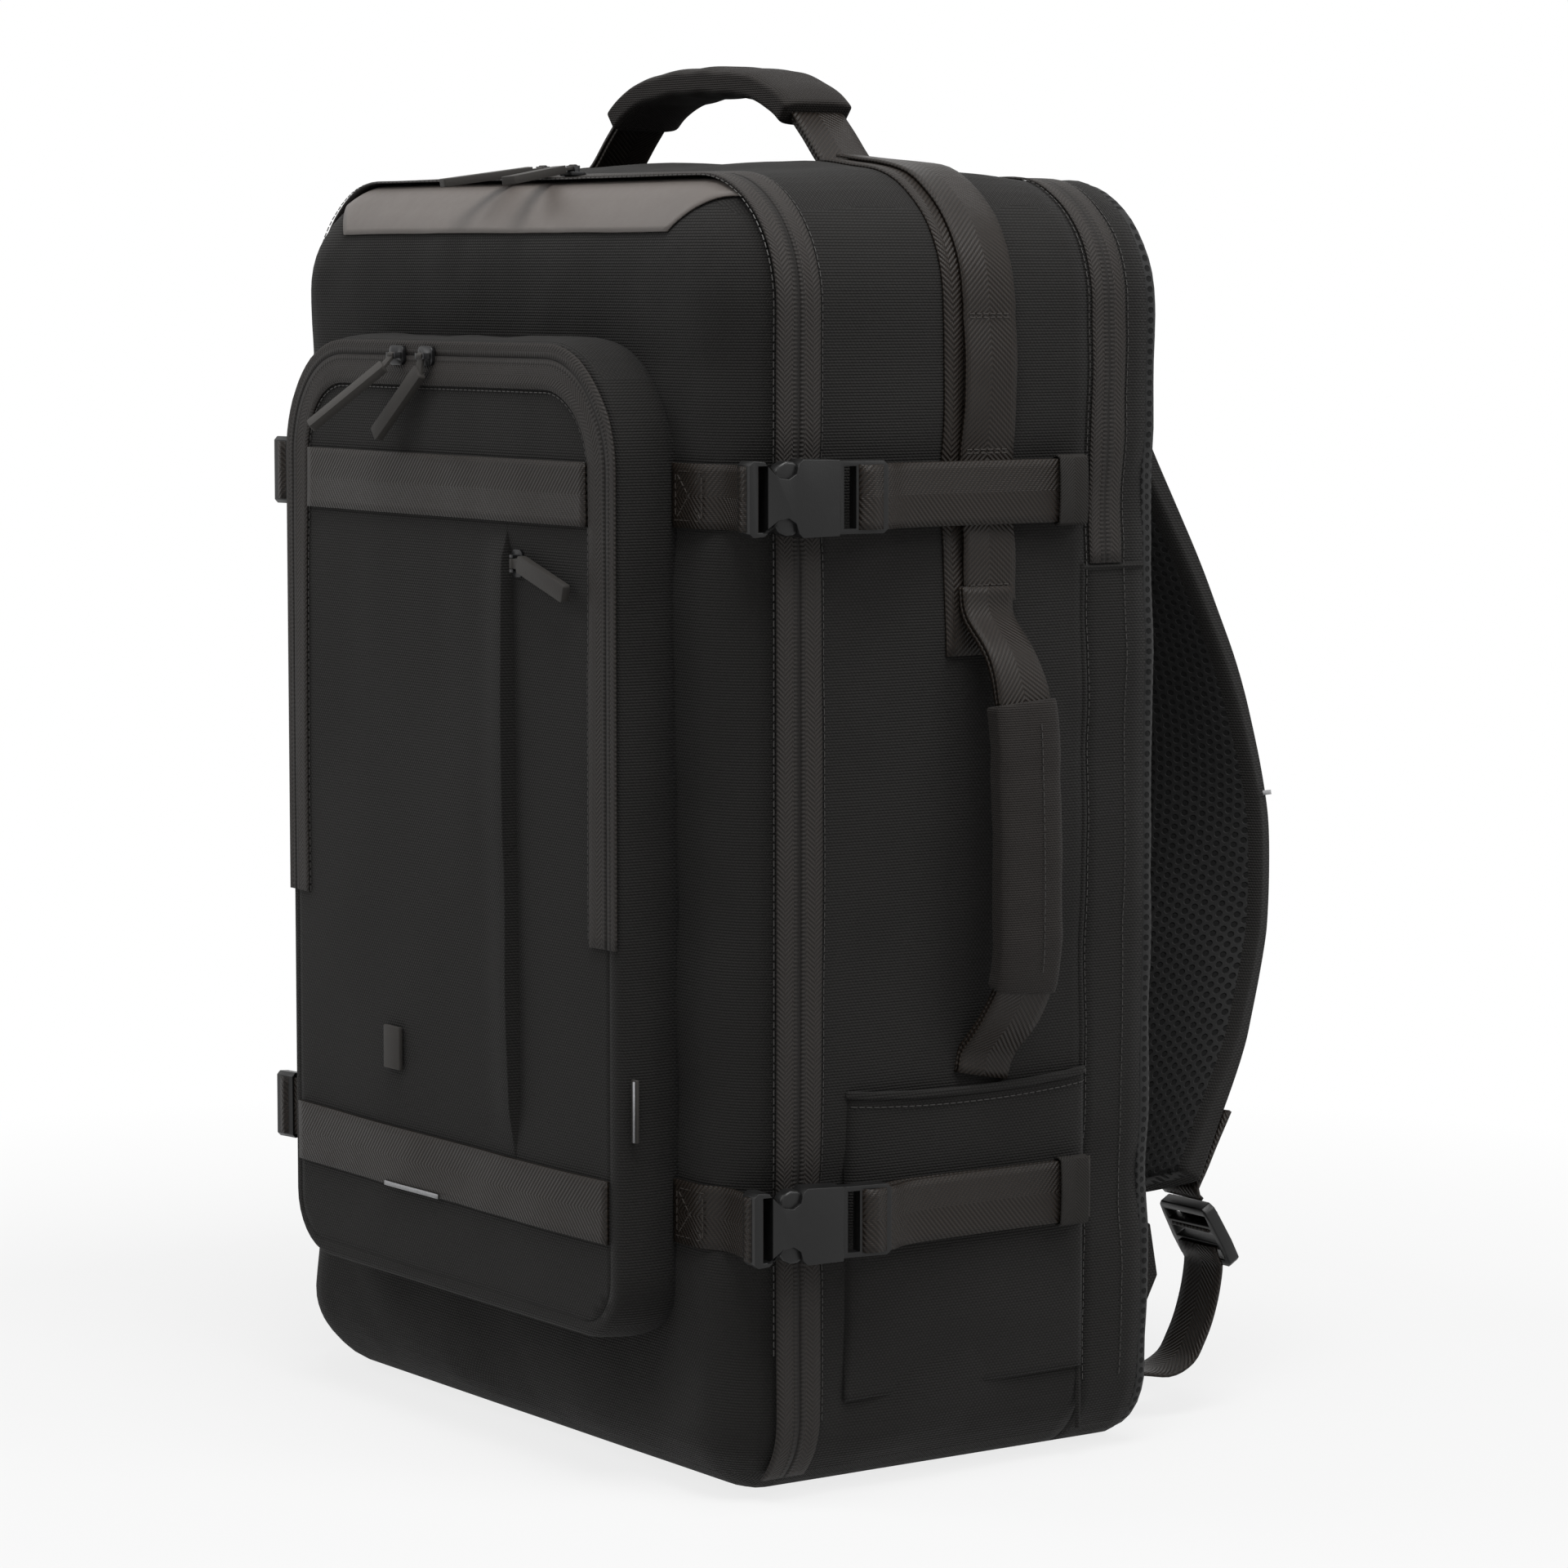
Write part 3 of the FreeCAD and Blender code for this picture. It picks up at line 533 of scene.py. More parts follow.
def tubeMesh(line, across, width, height, pinch=0.4, columns=10, layers=4, power=4.0):
    # A padded band along a line: a block cut into rows, then drawn out along it.
    bm = bmesh.new()
    rows = len(line) - 1
    bmesh.ops.create_cube(bm, size=1)
    slices(bm, 0, [i / rows - 0.5 for i in range(1, rows)])
    slices(bm, 1, spread(-0.5, 0.5, 1 / columns))
    slices(bm, 2, spread(-0.5, 0.5, 1 / layers))
    uv = bm.loops.layers.uv.new("UVMap")
    ways = directions(line)
    lengths = [0.0]
    for a, b in zip(line, line[1:]):
        lengths.append(lengths[-1] + (b - a).length)
    bm.verts.index_update()
    places = {}
    for vertex in bm.verts:
        s, a, b = vertex.co
        at = min(max((s + 0.5) * rows, 0), rows)
        i = min(int(round(at)), rows)
        wide = across[i] if isinstance(across, list) else across
        wide = squared(wide, ways[i])
        out = wide.cross(ways[i])
        part = i / rows
        w = width(part) if callable(width) else width
        h = height(part) if callable(height) else height
        edge = pinch + (1 - pinch) * max(0.0, 1 - abs(2 * a) ** power) ** 0.5
        places[vertex.index] = (a * w, lengths[i])
        vertex.co = line[i] + wide * (a * w) + out * (b * h * edge)
    for face in bm.faces:
        for loop in face.loops:
            loop[uv].uv = places[loop.vert.index]
    bmesh.ops.recalc_face_normals(bm, faces=bm.faces)
    return bm


def tube(name, line, across, width, height, materials, **more):
    return finishObject(name, tubeMesh(line, across, width, height, **more), materials)


stitchLook = {"length": 2.3 * mm, "gap": 3.3 * mm, "thick": 0.34 * mm}


def addStitches(bm, line, normals, lift=0.15 * mm):
    # A row of sewn stitches along a line; each is a small block.
    run, carried = stitchLook["gap"], 0.0
    for i, (a, b) in enumerate(zip(line, line[1:])):
        length = (b - a).length
        if length < 1e-9:
            continue
        along = (b - a) / length
        out = normals[i] if isinstance(normals, list) else normals
        wide = out.cross(along).normalized()
        turn = Matrix((along, wide, along.cross(wide))).transposed().to_4x4()
        at = run - carried
        while at <= length:
            place = Matrix.Translation(a + along * at + out * lift)
            size = Matrix.Diagonal((stitchLook["length"], stitchLook["thick"], stitchLook["thick"], 1))
            bmesh.ops.create_cube(bm, size=1, matrix=place @ turn @ size)
            at += run
        carried = length - (at - run)


def mirrorCopy(bm):
    for vertex in bm.verts:
        vertex.co.x = -vertex.co.x
    bmesh.ops.reverse_faces(bm, faces=bm.faces)
    return bm


def sided(name, side):
    return f"{name}_{'right' if side > 0 else 'left'}"


def flip(points, side):
    return [Vector((side * p[0], p[1], p[2])) for p in points]


bag = {
    "halfWidth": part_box("main_shell")[1].x,
    "front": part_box("main_shell")[0].y,
    "zip": (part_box("main_zip_tape_rear")[0].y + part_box("main_zip_tape_front")[1].y) / 2,
    "seam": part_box("main_shell")[1].y,
    "backPanel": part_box("back_panel")[0].y,
    "back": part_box("back_panel")[1].y,
    "height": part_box("main_shell")[1].z,
    "topCorner": 0.050,
    "lowCorner": 0.034,
    "frontEdge": 0.030,
    "wall": 0.0022,
    "crown": 0.0075,
    "sideSwell": 0.0048,
    "frontSwell": 0.0022,
    "wrinkle": 0.0019,
    "cell": 0.006,
    "straps": (0.1126, 0.393),
    "foldLow": 0.044,
    "foldHigh": 0.058,
}


def smooth(value, low, high):
    t = min(max((value - low) / (high - low), 0.0), 1.0)
    return t * t * (3 - 2 * t)


def bump(value, middle, half):
    return max(0.0, 1 - ((value - middle) / half) ** 2)


def outward(p):
    height, half = bag["height"], bag["halfWidth"]
    radius = bag["topCorner"] if p.z > height / 2 else bag["lowCorner"]
    dx, dz = abs(p.x) - (half - radius), abs(p.z - height / 2) - (height / 2 - radius)
    signX, signZ = math.copysign(1, p.x), math.copysign(1, p.z - height / 2)
    if dx > 0 and dz > 0:
        side = Vector((dx * signX, 0, dz * signZ)).normalized()
        inside = radius - math.hypot(dx, dz)
    elif dx > dz:
        side, inside = Vector((signX, 0, 0)), radius - dx
    else:
        side, inside = Vector((0, 0, signZ)), radius - dz
    near = bag["frontEdge"] - inside
    deep = bag["front"] + bag["frontEdge"] - p.y
    if deep <= 0:
        return side
    if near <= 0:
        return Vector((0, -1, 0))
    return (side * near + Vector((0, -deep, 0))).normalized()


def swell(p, n):  # how far the cloth stands out from the plain shape
    low, high = bag["straps"]
    middle = (bag["zip"] + bag["seam"]) / 2
    half = (bag["seam"] - bag["zip"]) / 2
    amount = 0.0
    if n.z > 0:
        amount += (n.z * bag["crown"] * bump(p.x, 0, bag["halfWidth"])
                   * bump(p.y, middle + 0.004, half + 0.002))
    side = abs(n.x)
    if side > 0:
        between = math.sin(math.pi * min(max((p.z - low) / (high - low), 0), 1))
        above = bump(p.z, 0.45, 0.055) * 0.3
        below = bump(p.z, 0.055, 0.055) * 0.45
        across = 0.25 + 0.75 * bump(p.y, middle, half) if p.y < bag["seam"] else 0.3
        amount += side * bag["sideSwell"] * (between + above + below) * across
        for strap in bag["straps"]:
            amount -= side * 0.0012 * bump(p.z, strap, 0.022)
    if n.y < 0:
        amount += -n.y * bag["frontSwell"] * (bump(p.z, 0.475, 0.03) + bump(p.z, 0.03, 0.03))
    calm = 1 - 0.95 * bump(p.y, bag["zip"], 0.022) ** 0.5  # the zip's tapes keep the cloth flat
    amount += calm * bag["wrinkle"] * noise.noise(p * 17)
    streak = Vector((p.x * 6 + 3, (p.y + 0.5 * p.z) * 9, (p.z - 0.9 * p.y) * 30))
    near = sum(bump(p.z, strap - 0.03, 0.09) for strap in bag["straps"])
    amount += calm * bag["wrinkle"] * (0.45 + 0.9 * near) * noise.noise(streak)
    amount += 0.25 * calm * bag["wrinkle"] * noise.noise(p * 60)
    return amount * min(1.0, p.z / 0.02)


def soften(p):
    n = outward(p)
    return p + n * swell(p, n)


def softBag(bm):
    for vertex in bm.verts:
        vertex.co = soften(vertex.co)


def bagBlock(grow, y0, y1):
    return roundedSlab(bag["halfWidth"] + grow, -grow, bag["height"] + grow, y0, y1,
                       bag["lowCorner"] + grow, bag["topCorner"] + grow)


def makeShells():
    print("bag shells")
    whole = bagBlock(0, bag["front"], bag["seam"])
    roundEnd(whole, bag["front"], bag["frontEdge"], 10)
    dropFaces(whole, lambda c: c.y > bag["seam"] - 1e-5)
    slices(whole, 2, spread(0, bag["height"], bag["cell"]))
    slices(whole, 0, spread(-bag["halfWidth"], bag["halfWidth"], bag["cell"]))
    slices(whole, 1, [bag["zip"]] + spread(bag["zip"], bag["seam"], bag["cell"])
           + spread(bag["front"], bag["zip"], bag["cell"]))
    front = whole.copy()
    dropFaces(whole, lambda c: c.y < bag["zip"])
    dropFaces(front, lambda c: c.y > bag["zip"])
    for name, bm, node in (("bagBody", whole, "main_shell"), ("frontPanel", front, "front_shell")):
        softBag(bm)
        piece = finishObject(name, bm, [canvas, lining])
        thicken(piece, bag["wall"], -1, 1)
        if name == "bagBody":
            put(piece, "bag", node)
        else:
            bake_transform(piece)
            put(piece, None, node)


def makeRear():
    print("rear of the bag")
    gusset = bagBlock(0, bag["seam"] + 0.3 * mm, bag["backPanel"])
    dropFaces(gusset, lambda c: abs(c.y - (bag["seam"] + bag["backPanel"]) / 2) > 0.01)
    slices(gusset, 2, spread(0, bag["height"], bag["cell"]))
    slices(gusset, 0, spread(-bag["halfWidth"], bag["halfWidth"], bag["cell"]))
    slices(gusset, 1, spread(bag["seam"], bag["backPanel"], bag["cell"]))
    softBag(gusset)
    piece = finishObject("rearGusset", gusset, [canvas, lining])
    thicken(piece, bag["wall"], -1, 1)
    put(piece, "bag", "rear_gusset")

    panel = bagBlock(-1 * mm, bag["backPanel"], bag["back"])
    roundEnd(panel, bag["back"], 5 * mm, 4)
    slices(panel, 2, spread(0, bag["height"], 0.009))
    slices(panel, 0, spread(-bag["halfWidth"], bag["halfWidth"], 0.009))
    for vertex in panel.verts:
        p = vertex.co
        if p.y < bag["backPanel"] + 1e-5:
            continue
        n = outward(p)
        p += n * swell(p, n) * 0.8
        p.y += 0.0012 * noise.noise(p * 25) - 0.002 * bump(p.x, 0, 0.02)
    put(finishObject("backPanel", panel, [spacerMesh]), "bag", "back_panel")

    divider = bagBlock(-5 * mm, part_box("divider_panel")[0].y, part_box("divider_panel")[1].y)
    roundEnd(divider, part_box("divider_panel")[0].y, 2.5 * mm, 3)
    slices(divider, 2, spread(0, bag["height"], 0.02))
    slices(divider, 0, spread(-bag["halfWidth"], bag["halfWidth"], 0.02))
    for vertex in divider.verts:
        if vertex.co.y < bag["seam"] - 4 * mm:
            vertex.co.y += 0.001 * noise.noise(vertex.co * 20)
    put(finishObject("dividerPanel", divider, [lining]), "bag", "divider_panel")


def outlineLine(low, grow, step=5 * mm, y=0.0):  # up the right side, over the top and down the left
    half, height, radius = bag["halfWidth"] + grow, bag["height"] + grow, bag["topCorner"] + grow
    line = []
    lowRadius = bag["lowCorner"] + grow
    if low < bag["lowCorner"]:
        start = math.acos(max(0.0, (bag["lowCorner"] - low) / lowRadius))
        for i in range(8):
            a = (math.pi / 2 - start) * (1 - i / 8)
            line.append(Vector((half - lowRadius + lowRadius * math.cos(a), y,
                                bag["lowCorner"] - lowRadius * math.sin(a))))
        low = bag["lowCorner"]
    line.append(Vector((half, y, low)))
    line += [Vector((half, y, z)) for z in spread(low, height - radius, step)]
    for i in range(17):
        a = math.radians(90 * i / 16)
        line.append(Vector((half - radius + radius * math.cos(a), y, height - radius + radius * math.sin(a))))
    line += [Vector((x, y, height)) for x in spread(half - radius, 0, step)]
    line.append(Vector((0, y, height)))
    return line + [Vector((-p.x, p.y, p.z)) for p in reversed(line[:-1])]


zipLook = {"thick": 0.9 * mm, "half": 10 * mm, "lowEnd": 9 * mm, "laptopHalf": 8 * mm}


def makeTapes():
    print("zip tapes")
    grow = 0.3 * mm
    way = Vector((0, 1, 0))
    half = zipLook["half"]
    for name, y, node in (("zipTapeRear", bag["zip"] + half / 2, "main_zip_tape_rear"),
                          ("zipTapeFront", bag["zip"] - half / 2, "main_zip_tape_front")):
        bm = stripMesh(outlineLine(zipLook["lowEnd"], grow, y=y), way, half, columns=4,
                       uvStart=y - bag["zip"])
        softBag(bm)
        piece = finishObject(name, bm, [zipTape])
        thicken(piece, zipLook["thick"], 1)
        if name == "zipTapeRear":
            put(piece, "bag", node)
        else:
            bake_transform(piece)
            put(piece, None, node)
    low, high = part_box("laptop_zip_tape")
    y = (low.y + high.y) / 2
    bm = stripMesh(outlineLine(low.z, grow, y=y), way, high.y - low.y, columns=6)
    softBag(bm)
    piece = finishObject("laptopZip", bm, [zipTape])
    thicken(piece, zipLook["thick"], 1)
    put(piece, "bag", "laptop_zip_tape")

    seams = {  # seams beside the zips, and the one under the laptop zip
        "frontSeamStitches": ("front_panel", [(bag["zip"] - half - 1.2 * mm, 0.058)]),
        "seamStitches": ("bag", [(bag["zip"] + half + 1.2 * mm, 0.03), (low.y - 1.5 * mm, 0.03),
                                 (high.y + 1.6 * mm, 0.03)]),
    }
    for name, (body, places) in seams.items():
        bm = bmesh.new()
        for y, lowEnd in places:
            line = [soften(p) for p in outlineLine(lowEnd, 0.4 * mm, 4 * mm, y)]
            addStitches(bm, line, [outward(p) for p in line])
        put(finishObject(name, bm, [thread], smooth=False), body)


def welt(name, line, width, lift, material, body):  # a rounded ridge where two cloths meet
    normals = [outward(p) for p in line]
    ways = directions(line)
    across = [n.cross(w).normalized() * -1 for n, w in zip(normals, ways)]
    bm = stripMesh(line, across, width, columns=4,
                   shape=lambda part, t: lift * max(0.0, 1 - (2 * t) ** 2) ** 0.5)
    softBag(bm)
    put(finishObject(name, bm, [material]), body)


def makeSideSeams():
    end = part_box("laptop_zip_tape")[0].z
    y = bag["seam"] - 1 * mm
    for side in (1, -1):
        x = side * (bag["halfWidth"] + 0.05 * mm)
        down = [Vector((x, y, z)) for z in [end] + spread(end, 0.012, 6 * mm) + [0.012]]
        welt(sided("sideSeam", side), down, 2.6 * mm, 0.9 * mm, canvas, "bag")
        cross = [Vector((x, at, end - 1.5 * mm)) for at in [y] + spread(y, bag["backPanel"], 4 * mm)
                 + [bag["backPanel"]]]
        welt(sided("zipEndSeam", side), cross, 2.6 * mm, 0.9 * mm, canvas, "bag")


pocket = {
    "half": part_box("pocket_shell")[1].x,
    "low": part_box("pocket_shell")[0].z,
    "high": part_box("pocket_shell")[1].z,
    "front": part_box("pocket_shell")[0].y,
    "hinge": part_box("pocket_flap")[0].z,
    "margin": 7 * mm,
    "inner": 12 * mm,
    "topCorner": 50 * mm,
    "lowCorner": 26 * mm,
    "edge": 4 * mm,
    "swell": 4.2 * mm,
    "slitTop": (0.0518, 0.374),
    "slitEnd": (0.0558, 0.126),
    "wrinkle": 1.9 * mm,
    "cell": 5 * mm,
}


def slitX(z):
    (x0, z0), (x1, z1) = pocket["slitTop"], pocket["slitEnd"]
    return x0 + (x1 - x0) * (z0 - z) / (z0 - z1)


def pocketRise(x, z):  # how far the pocket's front cloth stands out
    half, middle = pocket["half"] - pocket["margin"], (pocket["low"] + pocket["high"]) / 2
    tall = (pocket["high"] - pocket["low"]) / 2 - pocket["margin"]
    edge = bump(x, 0, half) ** 0.7 * bump(z, middle, tall) ** 0.6
    rise = pocket["swell"] * edge
    for strap in bag["straps"]:
        rise -= 1.6 * mm * bump(z, strap, 0.03) * edge
    p = Vector((x, 0.3, z))
    rise += pocket["wrinkle"] * noise.noise(p * 15) * edge ** 0.5
    pull = bump(z, 0.425, 0.045) + bump(z, 0.35, 0.05) * 0.4  # gathers above and below the strap
    rise += 1.0 * mm * noise.noise(Vector((x * 45, 7, z * 6))) * pull * edge ** 0.5
    slanting = noise.noise(Vector(((x + z) * 12, 2, (z - x) * 32)))
    rise += 0.8 * mm * slanting * bump(z, 0.09, 0.06) * edge ** 0.4
    slit = slitX(z)
    cut = smooth(z, 0.122, 0.150) * (1 - smooth(z, 0.366, 0.376))
    if x > slit - 0.3 * mm:
        right = 1.2 * mm * bump(x, (slit + half) / 2, (half - slit) / 2)
        rise = rise * (1 - cut) + min(right, rise) * cut
    else:
        rise += 2.0 * mm * cut * smooth(x, slit - 20 * mm, slit - 1 * mm)
    return max(rise, -1.0 * mm)


def softPocket(bm):
    for vertex in bm.verts:
        vertex.co.y -= pocketRise(vertex.co.x, vertex.co.z)


def makePocket():
    print("front pocket")
    half, low, high, front = (pocket[k] for k in ("half", "low", "high", "front"))
    bm = roundedSlab(half, low, high, front, bag["front"] + 1 * mm, pocket["lowCorner"], pocket["topCorner"])
    roundEnd(bm, front, pocket["edge"], 5)
    face = min(bm.faces, key=lambda f: f.calc_center_median().y)
    bmesh.ops.inset_region(bm, faces=[face], thickness=pocket["margin"] - pocket["edge"], depth=0)
    bmesh.ops.delete(bm, geom=[face], context="FACES")
    dropFaces(bm, lambda c: c.y > bag["front"] + 0.5 * mm)
    slices(bm, 2, spread(low, high, pocket["cell"]))
    slices(bm, 0, spread(-half, half, pocket["cell"]))
    slices(bm, 1, spread(front + pocket["edge"], bag["front"], pocket["cell"]))
    for vertex in bm.verts:
        p = vertex.co
        depth = smooth(p.y, front + 3 * mm, front + 12 * mm) * (1 - smooth(p.y, bag["front"] - 6 * mm,
                                                                           bag["front"]))
        push = depth * (1.4 * mm * noise.noise(p * 20) + 0.8 * mm * noise.noise(p * 55) + 0.8 * mm)
        away = Vector((p.x, 0, p.z - (low + high) / 2)).normalized()
        if abs(p.x) > half - pocket["topCorner"] and low + 0.02 < p.z < high - 0.05:
            away = Vector((math.copysign(1, p.x), 0, 0))
        elif abs(p.x) < half - pocket["topCorner"]:
            away = Vector((0, 0, math.copysign(1, p.z - 0.25)))
        vertex.co += away * push
    walls = finishObject("pocketWalls", bm, [canvas, lining])
    thicken(walls, 1.6 * mm, -1, 1)
    put(walls, "front_panel", "pocket_shell")

    inset = pocket["margin"]
    bm = roundedSlab(half - inset, low + inset, high - inset, front, front + 1.6 * mm,
                     pocket["lowCorner"] - inset, pocket["topCorner"] - inset)
    slices(bm, 2, spread(low, high, pocket["cell"]))
    slices(bm, 0, spread(-half, half, pocket["cell"]) + [slitX(0.25) + d * mm for d in
           (-9, -6.5, -4.5, -3.2, -2.2, -1.4, -0.8, -0.3, 0.3, 0.9, 1.6, 2.6, 4)])
    for vertex in bm.verts:  # the fine rows follow the slit's slant
        near = max(0.0, 1 - abs(vertex.co.x - slitX(0.25)) / (12 * mm))
        vertex.co.x += (slitX(vertex.co.z) - slitX(0.25)) * near
    softPocket(bm)
    cloth = finishObject("pocketFront", bm, [canvas, lining])
    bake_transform(cloth)
    put(cloth, None, "pocket_flap")

    tape = 0.9 * mm
    for name, inner, outer, node, body in (
            ("pocketTapeOuter", 1 * mm, inset - 0.1 * mm, "pocket_zip_tape", "front_panel"),
            ("pocketTapeInner", inset + 0.1 * mm, inset + pocket["inner"], "flap_zip_tape", "flap")):
        line = pocketLine((inner + outer) / 2, front - 0.3 * mm, pocket["hinge"] + 4 * mm)
        ways = directions(line)
        across = [w.cross(Vector((0, -1, 0))) for w in ways]
        bm = stripMesh(line, across, outer - inner, columns=4, uvStart=inset - (inner + outer) / 2)
        softPocket(bm)
        piece = finishObject(name, bm, [zipTape])
        thicken(piece, tape, 1)
        put(piece, body, node)

    seam = pocketLine(inset + pocket["inner"] + 1.2 * mm, front - 0.4 * mm, pocket["hinge"] + 5 * mm)
    bm = bmesh.new()
    addStitches(bm, [p - Vector((0, pocketRise(p.x, p.z), 0)) for p in seam], Vector((0, -1, 0)))
    put(finishObject("flapStitches", bm, [thread], smooth=False), "flap")


def pocketLine(inset, y, low):  # up the right edge, over the top and down the left
    half, high = pocket["half"] - inset, pocket["high"] - inset
    radius = pocket["topCorner"] - inset
    line = [Vector((half, y, z)) for z in [low] + spread(low, high - radius, 5 * mm)]
    for i in range(17):
        a = math.radians(90 * i / 16)
        line.append(Vector((half - radius + radius * math.cos(a), y, high - radius + radius * math.sin(a))))
    line += [Vector((x, y, high)) for x in spread(half - radius, 0, 5 * mm)] + [Vector((0, y, high))]
    return line + [Vector((-p.x, p.y, p.z)) for p in reversed(line[:-1])]


pocketTrim = {
    "highReach": 0.1085,
    "lowReach": 0.1215,
    "tabOut": 1.4 * mm,
    "barX": (-0.049, -0.001),
    "barHeight": 1.9 * mm,
    "tabZ": (0.141, 0.166),
}


def makePocketTrim():
    front = pocket["front"] - 0.35 * mm
    for name, height, reach, node, body in (
            ("pocketStrapHigh", bag["straps"][1], pocketTrim["highReach"], "flap_webbing", "flap"),
            ("pocketStrapLow", bag["straps"][0], pocketTrim["lowReach"], None, "front_panel")):
        line = [Vector((x, front, height)) for x in [-reach] + spread(-reach, reach, 4 * mm) + [reach]]
        bm = stripMesh(line, Vector((0, 0, 1)), webbingWidth, columns=8)
        softPocket(bm)
        piece = finishObject(name, bm, [webbing])
        thicken(piece, 1.5 * mm, -1)
        put(piece, body, node)
        if not node:
            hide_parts("compression_webbing_front")
    low = bag["straps"][0] - 12 * mm
    bar = [Vector((x, front - 1.6 * mm, low)) for x in spread(*pocketTrim["barX"], 3 * mm)]
    bm = stripMesh(bar, Vector((0, 0, 1)), pocketTrim["barHeight"], columns=2)
    softPocket(bm)
    piece = finishObject("reflectiveBar", bm, [reflective])
    thicken(piece, 0.3 * mm, -1)
    put(piece, "front_panel")
    z0, z1 = pocketTrim["tabZ"]
    bm = roundedSlab(2.6 * mm, z0, z1, 0, 1.6 * mm, 0, 0)
    bmesh.ops.translate(bm, vec=(pocket["half"] + pocketTrim["tabOut"], pocket["front"] + 5 * mm, 0),
                        verts=bm.verts)
    tab = finishObject("sideTab", bm, [rubber])
    addModifier(tab, "BEVEL", width=0.5 * mm, segments=2)
    put(tab, "front_panel")
    bm = bmesh.new()
    for edge in (-1, 1):
        place = Matrix.Translation((pocket["half"] + pocketTrim["tabOut"] + edge * 2.2 * mm,
                                    pocket["front"] + 4.1 * mm, (z0 + z1) / 2))
        size = Matrix.Diagonal((0.9 * mm, 0.5 * mm, z1 - z0 - 1 * mm, 1))
        bmesh.ops.create_cube(bm, size=1, matrix=place @ size)
    put(finishObject("sideTabEdges", bm, [reflective]), "front_panel")


coatedPanel = {"lowHalf": 0.124, "flare": 0.026}


def makeCoatedPanel():
    centreY, radius = bag["front"] + bag["frontEdge"], bag["frontEdge"] + 0.35 * mm
    bm = bmesh.new()
    bmesh.ops.create_grid(bm, x_segments=60, y_segments=12, size=0.5)
    first, last = math.asin(8 / 30), math.radians(71)
    for vertex in bm.verts:
        t = vertex.co.y + 0.5
        x = vertex.co.x * 2 * (coatedPanel["lowHalf"] + coatedPanel["flare"] * t)
        over = max(0.0, abs(x) - (bag["halfWidth"] - bag["topCorner"]))
        top = bag["height"] - bag["topCorner"] + math.sqrt(bag["topCorner"] ** 2 - over ** 2)
        a = first + (last - first) * t
        vertex.co = Vector((x, centreY - radius * math.cos(a), top - bag["frontEdge"] + radius * math.sin(a)))
    bmesh.ops.recalc_face_normals(bm, faces=bm.faces)
    softBag(bm)
    if sum(f.normal.y for f in bm.faces) > 0:
        bmesh.ops.reverse_faces(bm, faces=bm.faces)
    piece = finishObject("coatedPanel", bm, [coated])
    thicken(piece, 0.7 * mm, 1)
    put(piece, "front_panel", "coated_panel")


def drawOut(outline, start, depth):  # an outline in (y, z), made solid along x
    bm = bmesh.new()
    face = bm.faces.new([bm.verts.new((start, a, b)) for a, b in outline])
    made = bmesh.ops.extrude_face_region(bm, geom=[face])["geom"]
    bmesh.ops.translate(bm, vec=(depth, 0, 0), verts=[v for v in made if isinstance(v, bmesh.types.BMVert)])
    bmesh.ops.recalc_face_normals(bm, faces=bm.faces)
    return bm


def plasticPart(name, outline, thick, holes, place, side, edge=0.9 * mm):
    # A moulded plate: an outline in (along, up) drawn out through its thickness, with holes.
    piece = finishObject(name, drawOut(outline, -thick / 2, thick), [plastic])
    cutters = []
    for hole in holes:
        cut = bmesh.new()
        if len(hole) == 3:
            at, up, radius = hole
            bmesh.ops.create_cone(cut, segments=28, radius1=radius, radius2=radius, depth=4 * thick,
                                  cap_ends=True, matrix=Matrix.Translation((0, at, up))
                                  @ Matrix.Rotation(math.pi / 2, 4, "Y"))
        else:
            a0, a1, b0, b1 = hole
            bmesh.ops.create_cube(cut, size=1, matrix=Matrix.Translation((0, (a0 + a1) / 2, (b0 + b1) / 2))
                                  @ Matrix.Diagonal((4 * thick, a1 - a0, b1 - b0, 1)))
        cutters.append(finishObject("cutter", cut, []))
        addModifier(piece, "BOOLEAN", operation="DIFFERENCE", object=cutters[-1], solver="EXACT")
    addModifier(piece, "BEVEL", width=edge, segments=3, limit_method="ANGLE", angle_limit=math.radians(35))
    applyAll(piece)
    for cutter in cutters:
        bpy.data.objects.remove(cutter)
    setPlace(piece, place, side)
    for polygon in piece.data.polygons:
        polygon.use_smooth = True
    piece.data.set_sharp_from_angle(angle=math.radians(40))
    return piece


def setPlace(piece, place, side=1):
    bm = bmesh.new()
    bm.from_mesh(piece.data)
    bmesh.ops.transform(bm, matrix=place, verts=bm.verts)
    if side < 0:
        mirrorCopy(bm)
    bm.to_mesh(piece.data)
    bm.free()


def mirroredOutline(points):
    return list(points) + [(a, -b) for a, b in reversed(points)]


def roundedCopy(node, material, width=0.5 * mm):
    # The node's own shape with its edges eased.
    bm = bmesh.new()
    bm.from_mesh(frame["nodes"][node].data)
    bmesh.ops.remove_doubles(bm, verts=bm.verts, dist=1e-5)
    bmesh.ops.dissolve_limit(bm, angle_limit=math.radians(4), verts=bm.verts, edges=bm.edges)
    piece = finishObject(node + "_eased", bm, [material])
    addModifier(piece, "BEVEL", width=width, segments=2, limit_method="ANGLE", angle_limit=math.radians(32),
                use_clamp_overlap=True)
    applyAll(piece)
    piece.data.set_sharp_from_angle(angle=math.radians(40))
    return put(piece, bodyOf[node], node)


buckle = {
    "mouth": -0.065,
    "tilt": math.radians(9),
    "thick": 11 * mm,
    "standOff": {"lower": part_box("side_pockets")[1].x - bag["halfWidth"] + 1.3 * mm, "upper": 4.30 * mm},
}


